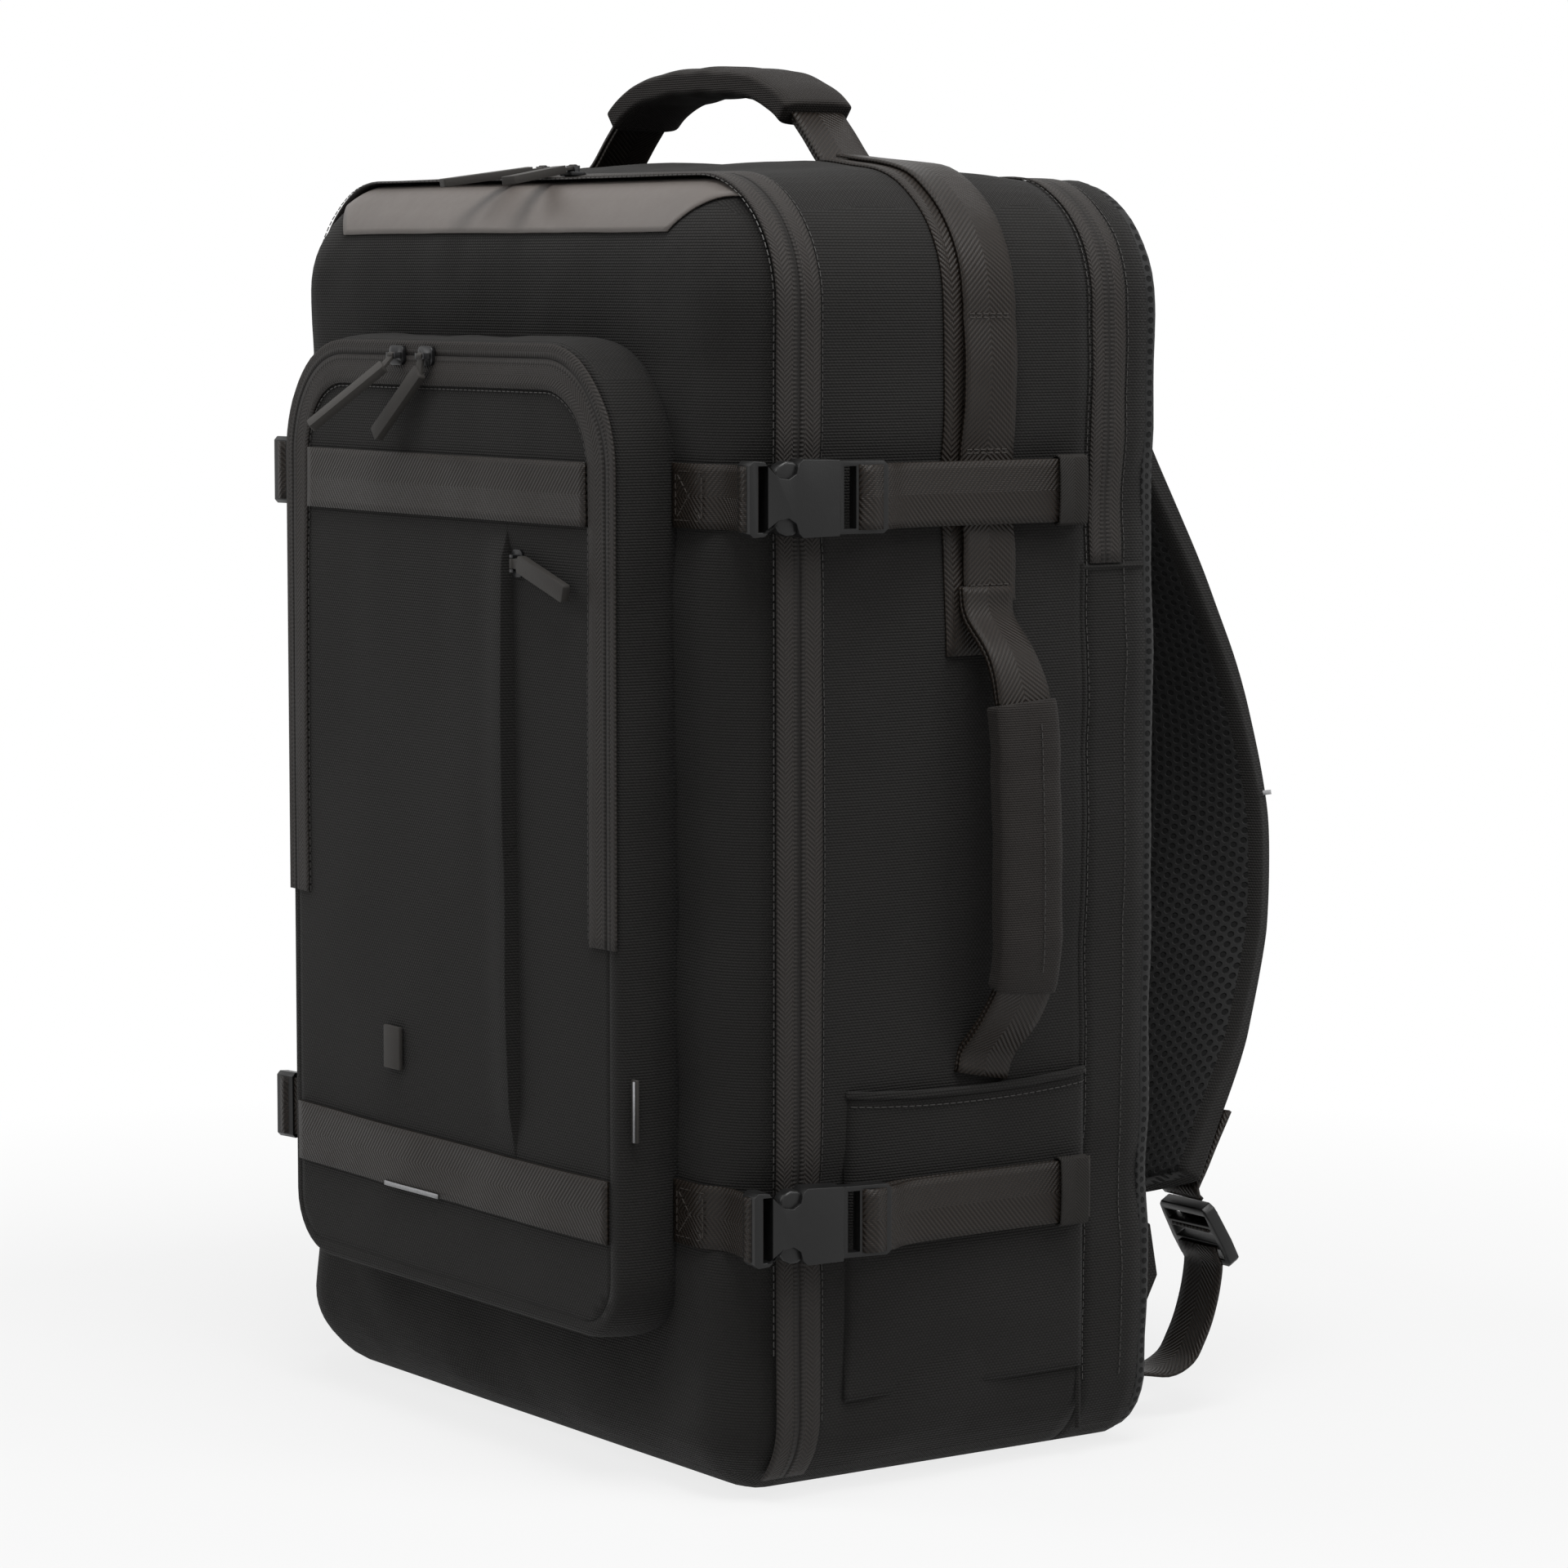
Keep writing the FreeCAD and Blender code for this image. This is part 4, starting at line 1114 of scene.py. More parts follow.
def buckleMatrix(name):
    # From a buckle's own (out, along, up) to the right side of the bag.
    base = bag["halfWidth"] + buckle["standOff"][name]
    height = bag["straps"][0 if name == "lower" else 1]
    pivot = Matrix.Translation((base, buckle["mouth"], height))
    return pivot @ Matrix.Rotation(-buckle["tilt"], 4, "Z") @ Matrix.Translation((6 * mm, 0, 0))


def makeBuckles():
    print("buckles")
    socketOutline = mirroredOutline([
        (0, 14.6 * mm), (-15.5 * mm, 15 * mm), (-17.2 * mm, 13.2 * mm), (-18.4 * mm, 9.4 * mm),
        (-21.5 * mm, 7.4 * mm), (-25.5 * mm, 8.0 * mm), (-29 * mm, 11.8 * mm), (-32 * mm, 14.2 * mm),
        (-36.5 * mm, 14.6 * mm), (-38.2 * mm, 13 * mm)])
    frameOutline = mirroredOutline([
        (0, 12.6 * mm), (0.8 * mm, 14 * mm), (20 * mm, 14 * mm), (22 * mm, 12.2 * mm)])
    pad = mirroredOutline([(-16.9 * mm, 4.2 * mm), (-19 * mm, 5.4 * mm), (-22 * mm, 5.6 * mm),
                           (-25 * mm, 4 * mm), (-26.6 * mm, 1 * mm)])
    first = True
    for name in ("lower", "upper"):
        place = buckleMatrix(name)
        for side in (1, -1):
            label = sided(name, side)
            socket = plasticPart(label + "_socket", socketOutline, buckle["thick"],
                                 [(-34.6 * mm, -30.4 * mm, -12.6 * mm, 12.6 * mm)], place, side, 1.4 * mm)
            put(socket, "front_panel")
            if first:
                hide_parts("side_buckle_sockets")
                first = False
            plug = plasticPart(label + "_lock", frameOutline, 6 * mm,
                               [(3 * mm, 8.2 * mm, -12 * mm, 12 * mm),
                                (12 * mm, 18.6 * mm, -12 * mm, 12 * mm)],
                               place, side, 1.2 * mm)
            put(plug, label + "_plug", label + "_plug")
            for end, sign in (("top", 1), ("bottom", -1)):
                lift = place @ Matrix.Translation((0, 0, sign * 8.8 * mm))
                piece = plasticPart(f"{label}_pad_{end}", pad, 7.4 * mm, [], lift, side, 1.2 * mm)
                put(piece, f"{label}_prong_{end}", f"{label}_prong_{end}")


def onBuckle(place, points):
    return [place @ Vector((out * mm, along * mm, 0)) for out, along in points]


def makeStrapWebbing():
    print("compression webbing")
    up = Vector((0, 0, 1))
    for name in ("lower", "upper"):
        place = buckleMatrix(name)
        height = bag["straps"][0 if name == "lower" else 1]
        base = bag["halfWidth"] + buckle["standOff"][name]
        for side in (1, -1):
            label = sided(name, side)
            # short piece from the pocket's wall round the bag's edge to the socket
            x0, y0 = pocket["half"] + 1 * mm, bag["front"] - 1.6 * mm
            reach = onBuckle(place, [(-2.8, -36.8), (-1.2, -39), (1.6, -38.4), (2.6, -35.5), (2.6, -33.5)])
            inner = [Vector((x0, y0, height)), Vector((x0 + 8 * mm, y0, height)),
                     Vector((x0 + 18 * mm, y0 + 0.4 * mm, height)),
                     Vector((x0 + 30 * mm, y0 + 5 * mm, height))]
            line = smoothLine(flip(inner + reach, side), 2.5 * mm)
            piece = strip(label + "_shortWebbing", line, up * side, webbingWidth, [webbing],
                          1.5 * mm, 0, columns=8)
            put(piece, "front_panel", None)
            box = smoothLine(flip([Vector((x0 + 3 * mm, y0 - 0.9 * mm, 0)),
                                   Vector((x0 + 20 * mm, y0 - 0.2 * mm, 0))], side), 2 * mm)
            bm = bmesh.new()
            a, b = box[0], box[-1]
            corners = [a + up * (height + s * 9.5 * mm) for s in (-1, 1)] \
                + [b + up * (height + s * 9.5 * mm) for s in (1, -1)]
            out = Vector((0, -1, 0))
            for p, q in zip(corners, corners[1:] + corners[:1]):
                addStitches(bm, [p, q], out)
            addStitches(bm, [corners[0], corners[2]], out)
            addStitches(bm, [corners[1], corners[3]], out)
            put(finishObject(label + "_boxStitch", bm, [threadLight], smooth=False), "front_panel")

            # long piece from the side seam to the lock's bar, over it and back to the keeper
            lift = 1.2 * mm if name == "upper" else buckle["standOff"][name] - 1 * mm
            foot = [Vector((bag["halfWidth"] + lift, bag["seam"] - 1 * mm, height)),
                    Vector((base + 0.8 * mm, bag["seam"] - 8 * mm, height)),
                    Vector((base + 1.0 * mm, 0.02, height)), Vector((base + 1.4 * mm, -0.03, height))]
            around = onBuckle(place, [(-3.6, 19.5), (-3.4, 13), (-1, 10.2), (2.2, 9.4), (4.4, 11),
                                      (4.6, 15), (2.4, 19.5), (0.6, 24)])
            back = [Vector((base + 5.2 * mm, -0.03, height)), Vector((base + 3.6 * mm, 0.0, height)),
                    Vector((base + 3.2 * mm, 0.035, height)), Vector((base + 3.2 * mm, 0.0585, height))]
            line = smoothLine(flip(foot + around + back, side), 2.5 * mm)
            bm = stripMesh(line, up * side, webbingWidth, columns=8)
            piece = finishObject(label + "_longWebbing", bm, [webbing])
            thicken(piece, 1.4 * mm, 0)
            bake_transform(piece)
            put(piece, None, "compression_webbing_rear")

            # elastic keeper round both layers
            y0, y1 = 0.044, 0.058
            x = base + 1.9 * mm
            loop = [(x + 3.2 * mm, 12.8 * mm), (x + 3.7 * mm, 6 * mm), (x + 3.8 * mm, 0),
                    (x + 3.7 * mm, -6 * mm), (x + 3.2 * mm, -12.8 * mm), (x + 1 * mm, -13.7 * mm),
                    (x - 1.4 * mm, -12.8 * mm), (x - 1.8 * mm, 0), (x - 1.4 * mm, 12.8 * mm),
                    (x + 1 * mm, 13.7 * mm), (x + 3.2 * mm, 12.8 * mm)]
            ring = flip([Vector((a, (y0 + y1) / 2, height + b)) for a, b in loop], side)
            bm = stripMesh(ring, Vector((0, 1, 0)), y1 - y0, columns=4)
            bmesh.ops.remove_doubles(bm, verts=bm.verts, dist=1e-6)
            keeper = finishObject(label + "_keeper", bm, [elastic])
            thicken(keeper, 0.9 * mm, 0)
            addModifier(keeper, "BEVEL", width=0.3 * mm, segments=2)
            put(keeper, "bag", "strap_keepers")


handle = {
    "y": 0.010,
    "topReach": 0.094,
    "top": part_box("top_handle_webbing")[1].z - 0.8 * mm,
    "gripHalf": 0.066,
    "gripWidth": 34 * mm,
    "gripThick": 12.5 * mm,
    "standOff": 24 * mm,
    "gripLow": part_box("side_handle_grips")[0].z,
    "gripHigh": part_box("side_handle_grips")[1].z,
    "tacks": (0.462, 0.409, 0.356),
}


def makeTopHandle():
    print("handles")
    y, reach, top = handle["y"], handle["topReach"], handle["top"]
    low = bag["height"]
    rise = top - low
    right = [(reach + 0.012, low + 2.0 * mm), (reach, low + 3.2 * mm), (reach * 0.9, low + 0.2 * rise),
             (reach * 0.76, low + 0.5 * rise), (reach * 0.6, low + 0.78 * rise),
             (reach * 0.36, low + 0.95 * rise)]
    points = [(-x, z) for x, z in right] + [(0, top)] + right[::-1]
    line = smoothLine([Vector((x, y, z)) for x, z in points], 3 * mm)
    way = Vector((0, 1, 0))
    for name, lift, width in (("topHandleWebbing", 0, webbingWidth), ("topHandleUnder", -2.1 * mm, 24 * mm)):
        bm = stripMesh(line, way, width, columns=8, offset=-lift)
        piece = finishObject(name, bm, [webbing])
        thicken(piece, 1.6 * mm, 0)
        put(piece, "bag", "top_handle_webbing")
    core = [p - Vector((0, 0, 0.6 * mm)) for p in line if abs(p.x) <= handle["gripHalf"]]
    grip = tube("topHandleGrip", core, way, handle["gripWidth"], handle["gripThick"], [canvasFine],
                columns=14, layers=6, pinch=0.62, power=3.0)
    for vertex in grip.data.vertices:
        p = vertex.co
        creases = noise.noise(Vector((p.x * 90, 0, 0)))
        vertex.co += Vector((0, 0, 0.5 * mm * noise.noise(p * 60) + 0.7 * mm * creases))
    addModifier(grip, "SUBSURF", levels=1, render_levels=1)
    put(grip, "bag", "top_handle_grip")
    bm = bmesh.new()
    ups = [Vector((0, 0, 1))] * len(core)
    for shift in (-1, 1):
        addStitches(bm, [p + Vector((0, shift * 12 * mm, handle["gripThick"] * 0.40)) for p in core], ups)
    for end in (core[1], core[-2]):
        across = [end + Vector((0, t * 12 * mm, handle["gripThick"] * 0.5)) for t in (-1, -0.3, 0.3, 1)]
        addStitches(bm, across, Vector((0, 0, 1)))
    put(finishObject("topGripStitches", bm, [thread], smooth=False), "bag")


def sideDown(x, y, lowZ, lift, step=4 * mm):  # over the top edge and down the side
    half, height, radius = bag["halfWidth"], bag["height"], bag["topCorner"]
    line = [Vector((a, y, height + lift)) for a in spread(x, half - radius, step)]
    for i in range(17):
        a = math.radians(90 - 90 * i / 16)
        line.append(Vector((half - radius + (radius + lift) * math.cos(a), y,
                            height - radius + (radius + lift) * math.sin(a))))
    return line + [Vector((half + lift, y, z)) for z in spread(height - radius, lowZ, step)]


def makeSideHandles():
    y, half = handle["y"], bag["halfWidth"]
    way = Vector((0, 1, 0))
    for side in (1, -1):
        # wide band on the cloth, then the narrower webbing on it
        for name, width, shift, lift, low in (("daisyBand", 33 * mm, -1 * mm, 0.5 * mm, 0.325),
                                              ("daisyWebbing", webbingWidth, 3 * mm, 2.2 * mm, 0.346)):
            line = flip(sideDown(0.088, y + shift, low, lift), side)
            bm = stripMesh(line, way * side, width, columns=8)
            if name == "daisyWebbing":  # it stands up a little between its bar tacks
                for vertex in bm.verts:
                    z = vertex.co.z
                    if z < 0.47:
                        loose = min(abs(z - t) for t in handle["tacks"])
                        vertex.co += outward(vertex.co) * min(1.6 * mm, loose * 0.09)
            softBag(bm)
            piece = finishObject(sided(name, side), bm, [webbing])
            thicken(piece, 1.3 * mm, 0)
            put(piece, "bag", "side_handle_webbing")
        bm = bmesh.new()
        for z in handle["tacks"]:
            for row in (-0.7 * mm, 0.7 * mm):
                p = [soften(Vector((side * (half + 3.0 * mm), y + a * mm, z + row))) for a in (-9, 0, 9, 14)]
                addStitches(bm, p, Vector((side, 0, 0)))
        put(finishObject(sided("daisyTacks", side), bm, [threadLight], smooth=False), "bag")

        out = half + handle["standOff"] + 1 * mm
        lowEnd = 0.166
        points = [(half + 4.2 * mm, y + 1 * mm, 0.356), (half + 5.5 * mm, y + 1 * mm, 0.344),
                  (out - 7 * mm, y + 3 * mm, 0.328), (out - 1 * mm, y + 5 * mm, 0.308),
                  (out, y + 6 * mm, 0.280), (out + 0.4 * mm, y + 6.5 * mm, 0.255),
                  (out, y + 7 * mm, 0.228), (out - 1.5 * mm, y + 7 * mm, 0.204),
                  (out - 9 * mm, y + 5 * mm, 0.187), (half + 4.5 * mm, y + 2 * mm, 0.172),
                  (half + 3 * mm, y, lowEnd - 4 * mm)]
        line = smoothLine(flip(points, side), 3 * mm)
        twist = []
        for p in line:  # the webbing turns a little where it leaves the grip
            a = 0.35 * bump(p.z, 0.185, 0.02) - 0.3 * bump(p.z, 0.335, 0.02)
            twist.append(Vector((side * math.sin(a) * 0.5, math.cos(a), 0)) * side)
        for name, lift in (("sideHandleWebbing", 0.0), ("sideHandleInner", 2.0 * mm)):
            bm = stripMesh(line, twist, webbingWidth, columns=8, offset=-lift)
            piece = finishObject(sided(name, side), bm, [webbing])
            thicken(piece, 1.5 * mm, 0)
            put(piece, "bag", "side_handle_webbing")
        core = [p for p in line if handle["gripLow"] <= p.z <= handle["gripHigh"] - 1 * mm]
        wrap = tube(sided("sideHandleGrip", side), core, way * side, 30 * mm, 11 * mm, [canvasFine],
                    columns=14, layers=6, pinch=0.6, power=3.0)
        for vertex in wrap.data.vertices:
            p = vertex.co
            creases = noise.noise(Vector((0, 9, p.z * 80)))
            vertex.co.x += side * (0.5 * mm * noise.noise(p * 70) + 0.5 * mm * creases)
        addModifier(wrap, "SUBSURF", levels=1, render_levels=1)
        put(wrap, "bag", "side_handle_grips")
        bm = bmesh.new()
        face = 5.9 * mm
        for shift in (4 * mm,):
            addStitches(bm, [p + Vector((side * face, shift, 0)) for p in core[2:-2]], Vector((side, 0, 0)))
        put(finishObject(sided("sideGripStitches", side), bm, [thread], smooth=False), "bag")


def makeSidePockets():
    print("side pockets")
    low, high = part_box("side_pockets")
    y0, y1, z0, z1 = low.y, high.y, low.z, high.z
    reach = high.x - bag["halfWidth"] - 1.3 * mm
    for side in (1, -1):
        bm = bmesh.new()
        bmesh.ops.create_grid(bm, x_segments=44, y_segments=44, size=0.5)
        for vertex in bm.verts:
            s, t = vertex.co.x + 0.5, vertex.co.y + 0.5
            y, z = y0 + (y1 - y0) * s, z0 + 4 * mm + (z1 - z0 - 4 * mm) * t
            z += 2.5 * mm * bump(s, 0.5, 0.5) * -smooth(t, 0.8, 1.0)
            rise = 0.6 * mm + reach * min(1.0, (bump(s, 0.5, 0.5) ** 0.35)) * smooth(t, 0.0, 0.3)
            p = Vector((side * (bag["halfWidth"] + 0.2 * mm), y, z))
            creases = noise.noise(Vector((2, p.y * 22, p.z * 60)))
            rise += (0.9 * mm * noise.noise(p * 22) + 0.5 * mm * creases) * bump(s, 0.5, 0.5) ** 0.5
            vertex.co = p + Vector((side * max(rise, 0.4 * mm), 0, 0))
        bmesh.ops.recalc_face_normals(bm, faces=bm.faces)
        if sum(f.normal.x for f in bm.faces) * side < 0:
            bmesh.ops.reverse_faces(bm, faces=bm.faces)
        piece = finishObject(sided("sidePocket", side), bm, [canvas, lining])
        thicken(piece, 1.2 * mm, 0, 1)
        put(piece, "bag", "side_pockets")
        hem = []
        for s in [i / 40 for i in range(41)]:
            y = y0 + (y1 - y0) * s
            z = z1 - 2.5 * mm * bump(s, 0.5, 0.5) - 6 * mm
            rise = 0.8 * mm + reach * min(1.0, bump(s, 0.5, 0.5) ** 0.35) + 0.9 * mm
            hem.append(Vector((side * (bag["halfWidth"] + rise), y, z)))
        bm = bmesh.new()
        addStitches(bm, hem, Vector((side, 0, 0)))
        put(finishObject(sided("pocketHemStitch", side), bm, [thread], smooth=False), "bag")
        line = [p + Vector((0, 0, 4.6 * mm)) for p in hem]
        bm = stripMesh(line, Vector((0, 0, 1)), 3 * mm, columns=4)
        roll = finishObject(sided("pocketHem", side), bm, [canvas])
        thicken(roll, 2.2 * mm, 0)
        addModifier(roll, "BEVEL", width=0.9 * mm, segments=3)
        put(roll, "bag")


pads = {  # x from, x to, z from, z to, thickness
    "upper": (0.022, 0.152, 0.292, 0.447, 9 * mm),
    "lower": (0.022, 0.152, 0.130, 0.250, 13 * mm),
    "base": (-0.128, 0.128, 0.062, 0.124, 7 * mm),
}
padCorner = 16 * mm


def inflate(piece, pressure=4.0, cap=6 * mm, voxel=5 * mm):
    addModifier(piece, "REMESH", mode="VOXEL", voxel_size=voxel, adaptivity=0)
    applyAll(piece)
    before = [v.co.copy() for v in piece.data.vertices]
    cloth = addModifier(piece, "CLOTH")
    cloth.settings.use_pressure = True
    cloth.settings.uniform_pressure_force = pressure
    cloth.settings.effector_weights.gravity = 0
    cloth.settings.quality = 6
    cloth.collision_settings.use_collision = False
    for number in range(1, 21):
        scene.frame_set(number)
    applyAll(piece)
    scene.frame_set(1)
    for vertex, was in zip(piece.data.vertices, before):
        move = vertex.co - was
        if move.length > cap:
            vertex.co = was + move * (cap / move.length)
    return piece


def makeBackPads():
    print("back pads")
    back = bag["back"] - 0.8 * mm
    for name, (x0, x1, z0, z1, thick) in pads.items():
        for side in ((1, -1) if x0 > 0 else (1,)):
            bm = roundedSlab((x1 - x0) / 2 - 1 * mm, z0 + 1 * mm, z1 - 1 * mm, back, back + thick,
                             padCorner, padCorner)
            roundEnd(bm, back + thick, thick * 0.4, 3)
            bmesh.ops.translate(bm, vec=(side * (x0 + x1) / 2, 0, 0), verts=bm.verts)
            pad = finishObject(sided(name + "Pad", side), bm, [spacerMesh])
            inflate(pad)
            for vertex in pad.data.vertices:
                p = vertex.co
                p.y = max(p.y, back)
                p.y = min(p.y, back + thick + 2 * mm)
            for polygon in pad.data.polygons:
                polygon.use_smooth = True
            addModifier(pad, "SUBSURF", levels=1, render_levels=1)
            put(pad, "bag", "back_pads")


strapLook = {
    "thick": 12.5 * mm,
    "stations": [  # centre, lean in degrees, width
        ((62, 107.5, 494), 0, 61), ((64, 120, 470), 5, 61), ((65, 133, 445), 8, 62),
        ((68, 157, 390), 15, 62), ((73, 178, 340), 21, 62), ((78, 194, 290), 25, 62),
        ((85, 199, 243), 27, 62), ((94, 192, 197), 26, 60), ((106, 176, 155), 20, 54),
        ((119, 157, 120), 6, 46), ((128, 143, 98), 0, 40)],
    "reflectiveHeight": 0.253,
    "rim": 6 * mm,
    "seamInset": 7 * mm,
}


def strapLine(side, step=5 * mm):
    stations = strapLook["stations"]
    centres = smoothLine([Vector(c) * mm for c, _, _ in stations], step)
    leans, widths = [], []
    for p in centres:
        found = 0
        for i in range(len(stations) - 1):
            if p.z <= stations[i][0][2] * mm:
                found = i
        (a, leanA, wideA), (b, leanB, wideB) = stations[found], stations[found + 1]
        t = min(max((a[2] * mm - p.z) / ((a[2] - b[2]) * mm), 0.0), 1.0)
        leans.append(math.radians(leanA + (leanB - leanA) * t))
        widths.append((wideA + (wideB - wideA) * t) * mm)
    across = [Vector((math.cos(a), side * math.sin(a), 0)) for a in leans]
    return flip(centres, side), across, widths


def strapFacing(across, way):  # its width, and the way its outer face looks
    wide = squared(across, way)
    out = wide.cross(way)
    return wide, out if out.y >= 0 else -out


def makeShoulderStraps():
    print("shoulder straps")
    for side in (1, -1):
        node = sided("shoulder_strap", side)
        line, across, widths = strapLine(side)
        rows = len(line) - 1

        def width(part):
            return widths[min(int(round(part * rows)), rows)] - 3 * mm

        bm = tubeMesh(line, across, width, strapLook["thick"], pinch=0.72, columns=20, layers=6, power=4)
        ways = directions(line)
        for face in bm.faces:
            c = face.calc_center_median()
            i = min(range(len(line)), key=lambda k: (line[k] - c).length)
            wide, out = strapFacing(across[i], ways[i])
            rim = abs((c - line[i]).dot(wide)) > widths[i] / 2 - strapLook["rim"]
            face.material_index = 0 if rim or (c - line[i]).dot(out) > 0 else 1
        for vertex in bm.verts:
            vertex.co += Vector((0, 0.8 * mm * noise.noise(vertex.co * 30), 0))
        piece = finishObject(sided("shoulderStrap", side), bm, [canvas, spacerMesh])
        addModifier(piece, "SUBSURF", levels=1, render_levels=1)
        put(piece, "bag", node)
        bm = bmesh.new()
        for edge in (-1, 1):
            seam, outs = [], []
            for i, p in enumerate(line):
                wide, out = strapFacing(across[i], ways[i])
                outs.append(out)
                seam.append(p + wide * (edge * (widths[i] / 2 - strapLook["seamInset"]))
                            + out * strapLook["thick"] * 0.46)
            addStitches(bm, seam, outs)
        put(finishObject(sided("strapStitches", side), bm, [thread], smooth=False), "bag")
        # reflective bar across the outer edge
        i = min(range(len(line)), key=lambda k: abs(line[k].z - strapLook["reflectiveHeight"]))
        wide, out = strapFacing(across[i], ways[i])
        outer = wide if wide.x * side > 0 else -wide
        mark = [line[i] + outer * (widths[i] / 2 + a * mm) + out * (b * mm)
                for a, b in ((0.9, -4.5), (1.6, -1), (1.2, 3), (-2, 6), (-8, 6.6), (-20, 6.8))]
        bm = stripMesh(smoothLine(mark, 2 * mm), ways[i], 2.0 * mm, columns=2)
        bar = finishObject(sided("strapMark", side), bm, [reflective])
        thicken(bar, 0.5 * mm, 0)
        put(bar, "bag")


strapEnd = {
    "lockPlace": Vector((0.130, 0.162, 0.076)),
    "lockLean": math.radians(30),
    "wing": [(0, 0.096), (0, 0.034), (0.021, 0.045), (0.030, 0.062), (0.026, 0.084)],
    "wingX": 0.138,
}


def makeStrapEnds():
    print("strap ends")
    y, z = strapEnd["lockPlace"].y, strapEnd["lockPlace"].z
    lean = strapEnd["lockLean"]

    def onLock(across, up):
        return (y + (across * math.cos(lean) - up * math.sin(lean)) * mm,
                z + (across * math.sin(lean) + up * math.cos(lean)) * mm)

    outline = mirroredOutline([(-15 * mm, 14 * mm), (-13 * mm, 16.5 * mm), (-4 * mm, 17 * mm),
                               (8 * mm, 16.2 * mm), (13 * mm, 15.5 * mm), (15 * mm, 13.5 * mm)])
    # outline runs (up, across); the part's own thickness is along its first axis
    place = Matrix.Translation(strapEnd["lockPlace"]) @ Matrix.Rotation(lean, 4, "X") \
        @ Matrix(((0, 0, 1, 0), (1, 0, 0, 0), (0, 1, 0, 0), (0, 0, 0, 1)))
    for side in (1, -1):
        lock = plasticPart(sided("strapLock", side), outline, 5.5 * mm,
                           [(low * mm, high * mm, -13.2 * mm, 13.2 * mm)
                            for low, high in ((-11.5, -6.5), (-3, 2), (6, 11))], place, side, 1.5 * mm)
        put(lock, sided("ladder_lock", side), sided("ladder_lock", side))
        x = side * strapEnd["lockPlace"].x
        way = Vector((side, 0, 0))
        inner = onLock(-4.2, -13)
        weave = [onLock(-4.2, -9), onLock(-3.4, -4.6), onLock(0, -1.2), onLock(3.6, 0.5), onLock(4.6, 4),
                 onLock(3.2, 7.6), onLock(0, 8.4), onLock(-3.4, 6)]
        path = [weave[1], weave[0], inner, (y + 1.2 * mm, z - 0.025), (y - 2.5 * mm, z - 0.037),
                (y - 7 * mm, z - 0.046), (y - 12 * mm, z - 0.053), (y - 22 * mm, z - 0.0575),
                (y - 36 * mm, z - 0.0562), (bag["back"] + 6 * mm, z - 0.054),
                (bag["back"] + 1 * mm, z - 0.054)]
        line = smoothLine([Vector((x, a, b)) for a, b in path], 3 * mm)
        for i, p in enumerate(line):
            p.x -= side * 8 * mm * smooth(i / len(line), 0.45, 1.0)
        bm = stripMesh(line, way, 24 * mm, columns=6)
        piece = finishObject(sided("strapTail", side), bm, [webbing])
        thicken(piece, 1.4 * mm, 0)
        put(piece, "bag", "strap_webbing")
        top = smoothLine([Vector((x, a, b)) for a, b in [onLock(-3.2, 4), onLock(0, 2.6), onLock(3.2, 4.5),
                                                         onLock(4.2, 8), onLock(2.6, 14)]], 2 * mm)
        loop = stripMesh(top, way, 24 * mm, columns=6)
        band = finishObject(sided("lockBand", side), loop, [webbing])
        thicken(band, 1.5 * mm, 0)
        put(band, sided("ladder_lock", side))
        above, end = Vector((0.119, 0.157, 0.120)), Vector((0.128, 0.143, 0.098))
        run = end - above
        out = Vector((0, -run.z, run.y)).normalized() * 8.4 * mm
        tab = [above + run * t + out for t in (-0.5, 0.1, 0.5, 0.9)]
        tab = [Vector((x - side * 3 * mm * (1 - i / 3), p.y, p.z)) for i, p in enumerate(tab)]
        a, b = onLock(1, 17.6)
        line = smoothLine(tab + [Vector((x, a, b))], 3 * mm)
        bm = stripMesh(line, way, 24 * mm, columns=6)
        piece = finishObject(sided("strapTab", side), bm, [webbing])
        thicken(piece, 1.5 * mm, 0)
        put(piece, "bag")

        back = bag["back"] - 1 * mm
        wing = drawOut([(back + a, b) for a, b in strapEnd["wing"]], strapEnd["wingX"], 3 * mm)
        slices(wing, 2, spread(strapEnd["wing"][1][1], strapEnd["wing"][0][1], 6 * mm))
        if side < 0:
            mirrorCopy(wing)
        piece = finishObject(sided("strapWing", side), wing, [canvas])
        addModifier(piece, "BEVEL", width=1.2 * mm, segments=3)
        put(piece, "bag", "strap_wings")


def makeChestStrap():
    print("chest strap")
    low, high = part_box("sternum_webbing")
    way = Vector((0, 0, 1))
    for side in (1, -1):
        x0, x1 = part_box("sternum_socket")[1].x + 0.2 * mm, high.x + 2 * mm
        y, z = (low.y + high.y) / 2, (low.z + high.z) / 2
        line = [Vector((side * x, y + 1.2 * mm * bump(x, (x0 + x1) / 2, (x1 - x0) / 2), z))
                for x in [x0] + spread(x0, x1, 3 * mm) + [x1]]
        bm = stripMesh(line, way * side, high.z - low.z, columns=6)
        piece = finishObject(sided("chestWebbing", side), bm, [webbing])
        thicken(piece, 1.4 * mm, 0)
        if side > 0:
            put(piece, "bag", "sternum_webbing")
        else:  # the plug's webbing is baked in place and put on no body
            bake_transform(piece)
            put(piece, None, "sternum_webbing")


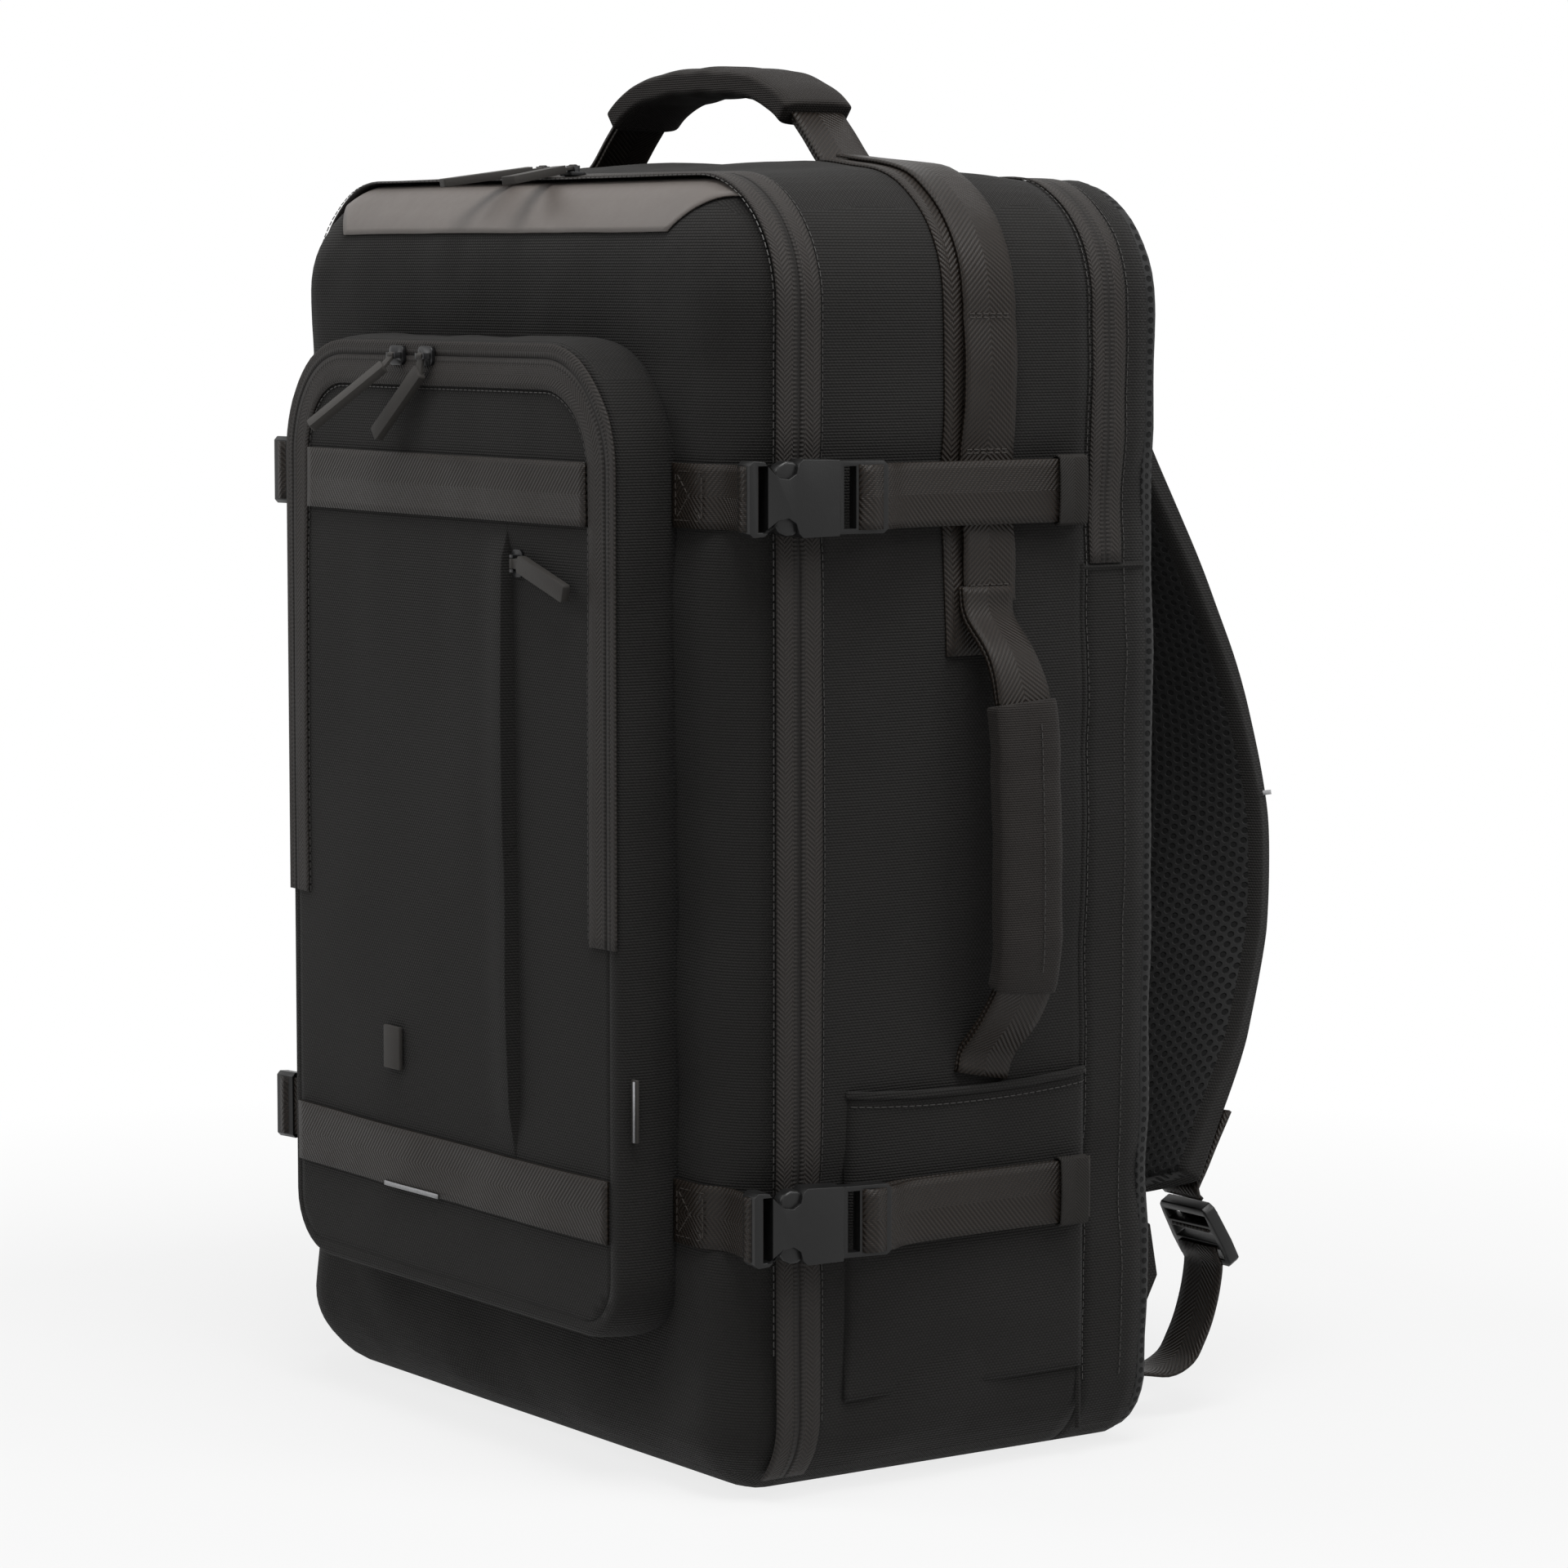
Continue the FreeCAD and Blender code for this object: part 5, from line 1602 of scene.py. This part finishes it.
makeStudio()
canvas = makeCanvas("canvas", (27, 26, 25))
canvasFine = makeCanvas("handleCanvas", (31, 28, 26), rough=0.78, scale=0.8)
lining = makeLining("lining", (34, 34, 36))
webbing = makeWebbing("webbing", (27, 22, 18), rough=0.4, contrast=0.75)
zipTape = makeWebbing("zipTape", (40, 37, 35), column=3.4 * mm, pitch=1.9 * mm, rough=0.6, contrast=0.55,
                      zipLine=True)
elastic = makeWebbing("elastic", (30, 28, 26), column=60 * mm, pitch=1.3 * mm, rough=0.7, contrast=0.25)
plastic = makeMoulded("buckleAcetal", (16, 16, 16), rough=0.36, specular=0.3)
rubber = makeMoulded("pullRubber", (46, 44, 42), rough=0.62, grain=0.08 * mm, specular=0.2)
enamel = makeMoulded("sliderEnamel", (34, 34, 35), rough=0.3, metal=0.6)
sheetPlastic = makeMoulded("sheetPlastic", (120, 120, 118), rough=0.5)
spacerMesh = makeSpacerMesh("spacerMesh", (22, 22, 22))
coated = makeCoated("coatedCloth", (88, 82, 78))
thread = makeThread("thread", (44, 42, 40))
threadLight = makeThread("threadHeavy", (58, 53, 49))
reflective = makeReflective("reflective", (150, 150, 152))
makeFloor()
makeShells()
makeRear()
makeTapes()
makeSideSeams()
makePocket()
makePocketTrim()
makeCoatedPanel()
makeBuckles()
makeStrapWebbing()
makeTopHandle()
makeSideHandles()
makeSidePockets()
makeBackPads()
makeShoulderStraps()
makeStrapEnds()
makeChestStrap()

print("small hardware")
for node, slotName in slotOf.items():
    if frame["nodes"][node].hide_render:
        continue
    if slotName == "slider_metal":
        roundedCopy(node, enamel, 0.3 * mm)
    elif slotName == "pull_rubber":
        made = roundedCopy(node, rubber, 0.5 * mm)
        if node == "badge":
            for vertex in made.data.vertices:
                vertex.co.y -= pocketRise(vertex.co.x, vertex.co.z) + 0.3 * mm
    elif slotName == "buckle_plastic":
        roundedCopy(node, plastic, 0.6 * mm)
    else:
        print("left as it is:", node, slotName)
        shown = frame["nodes"][node].data
        shown.materials.clear()
        shown.materials.append(sheetPlastic if slotName == "sheet_plastic" else canvas)
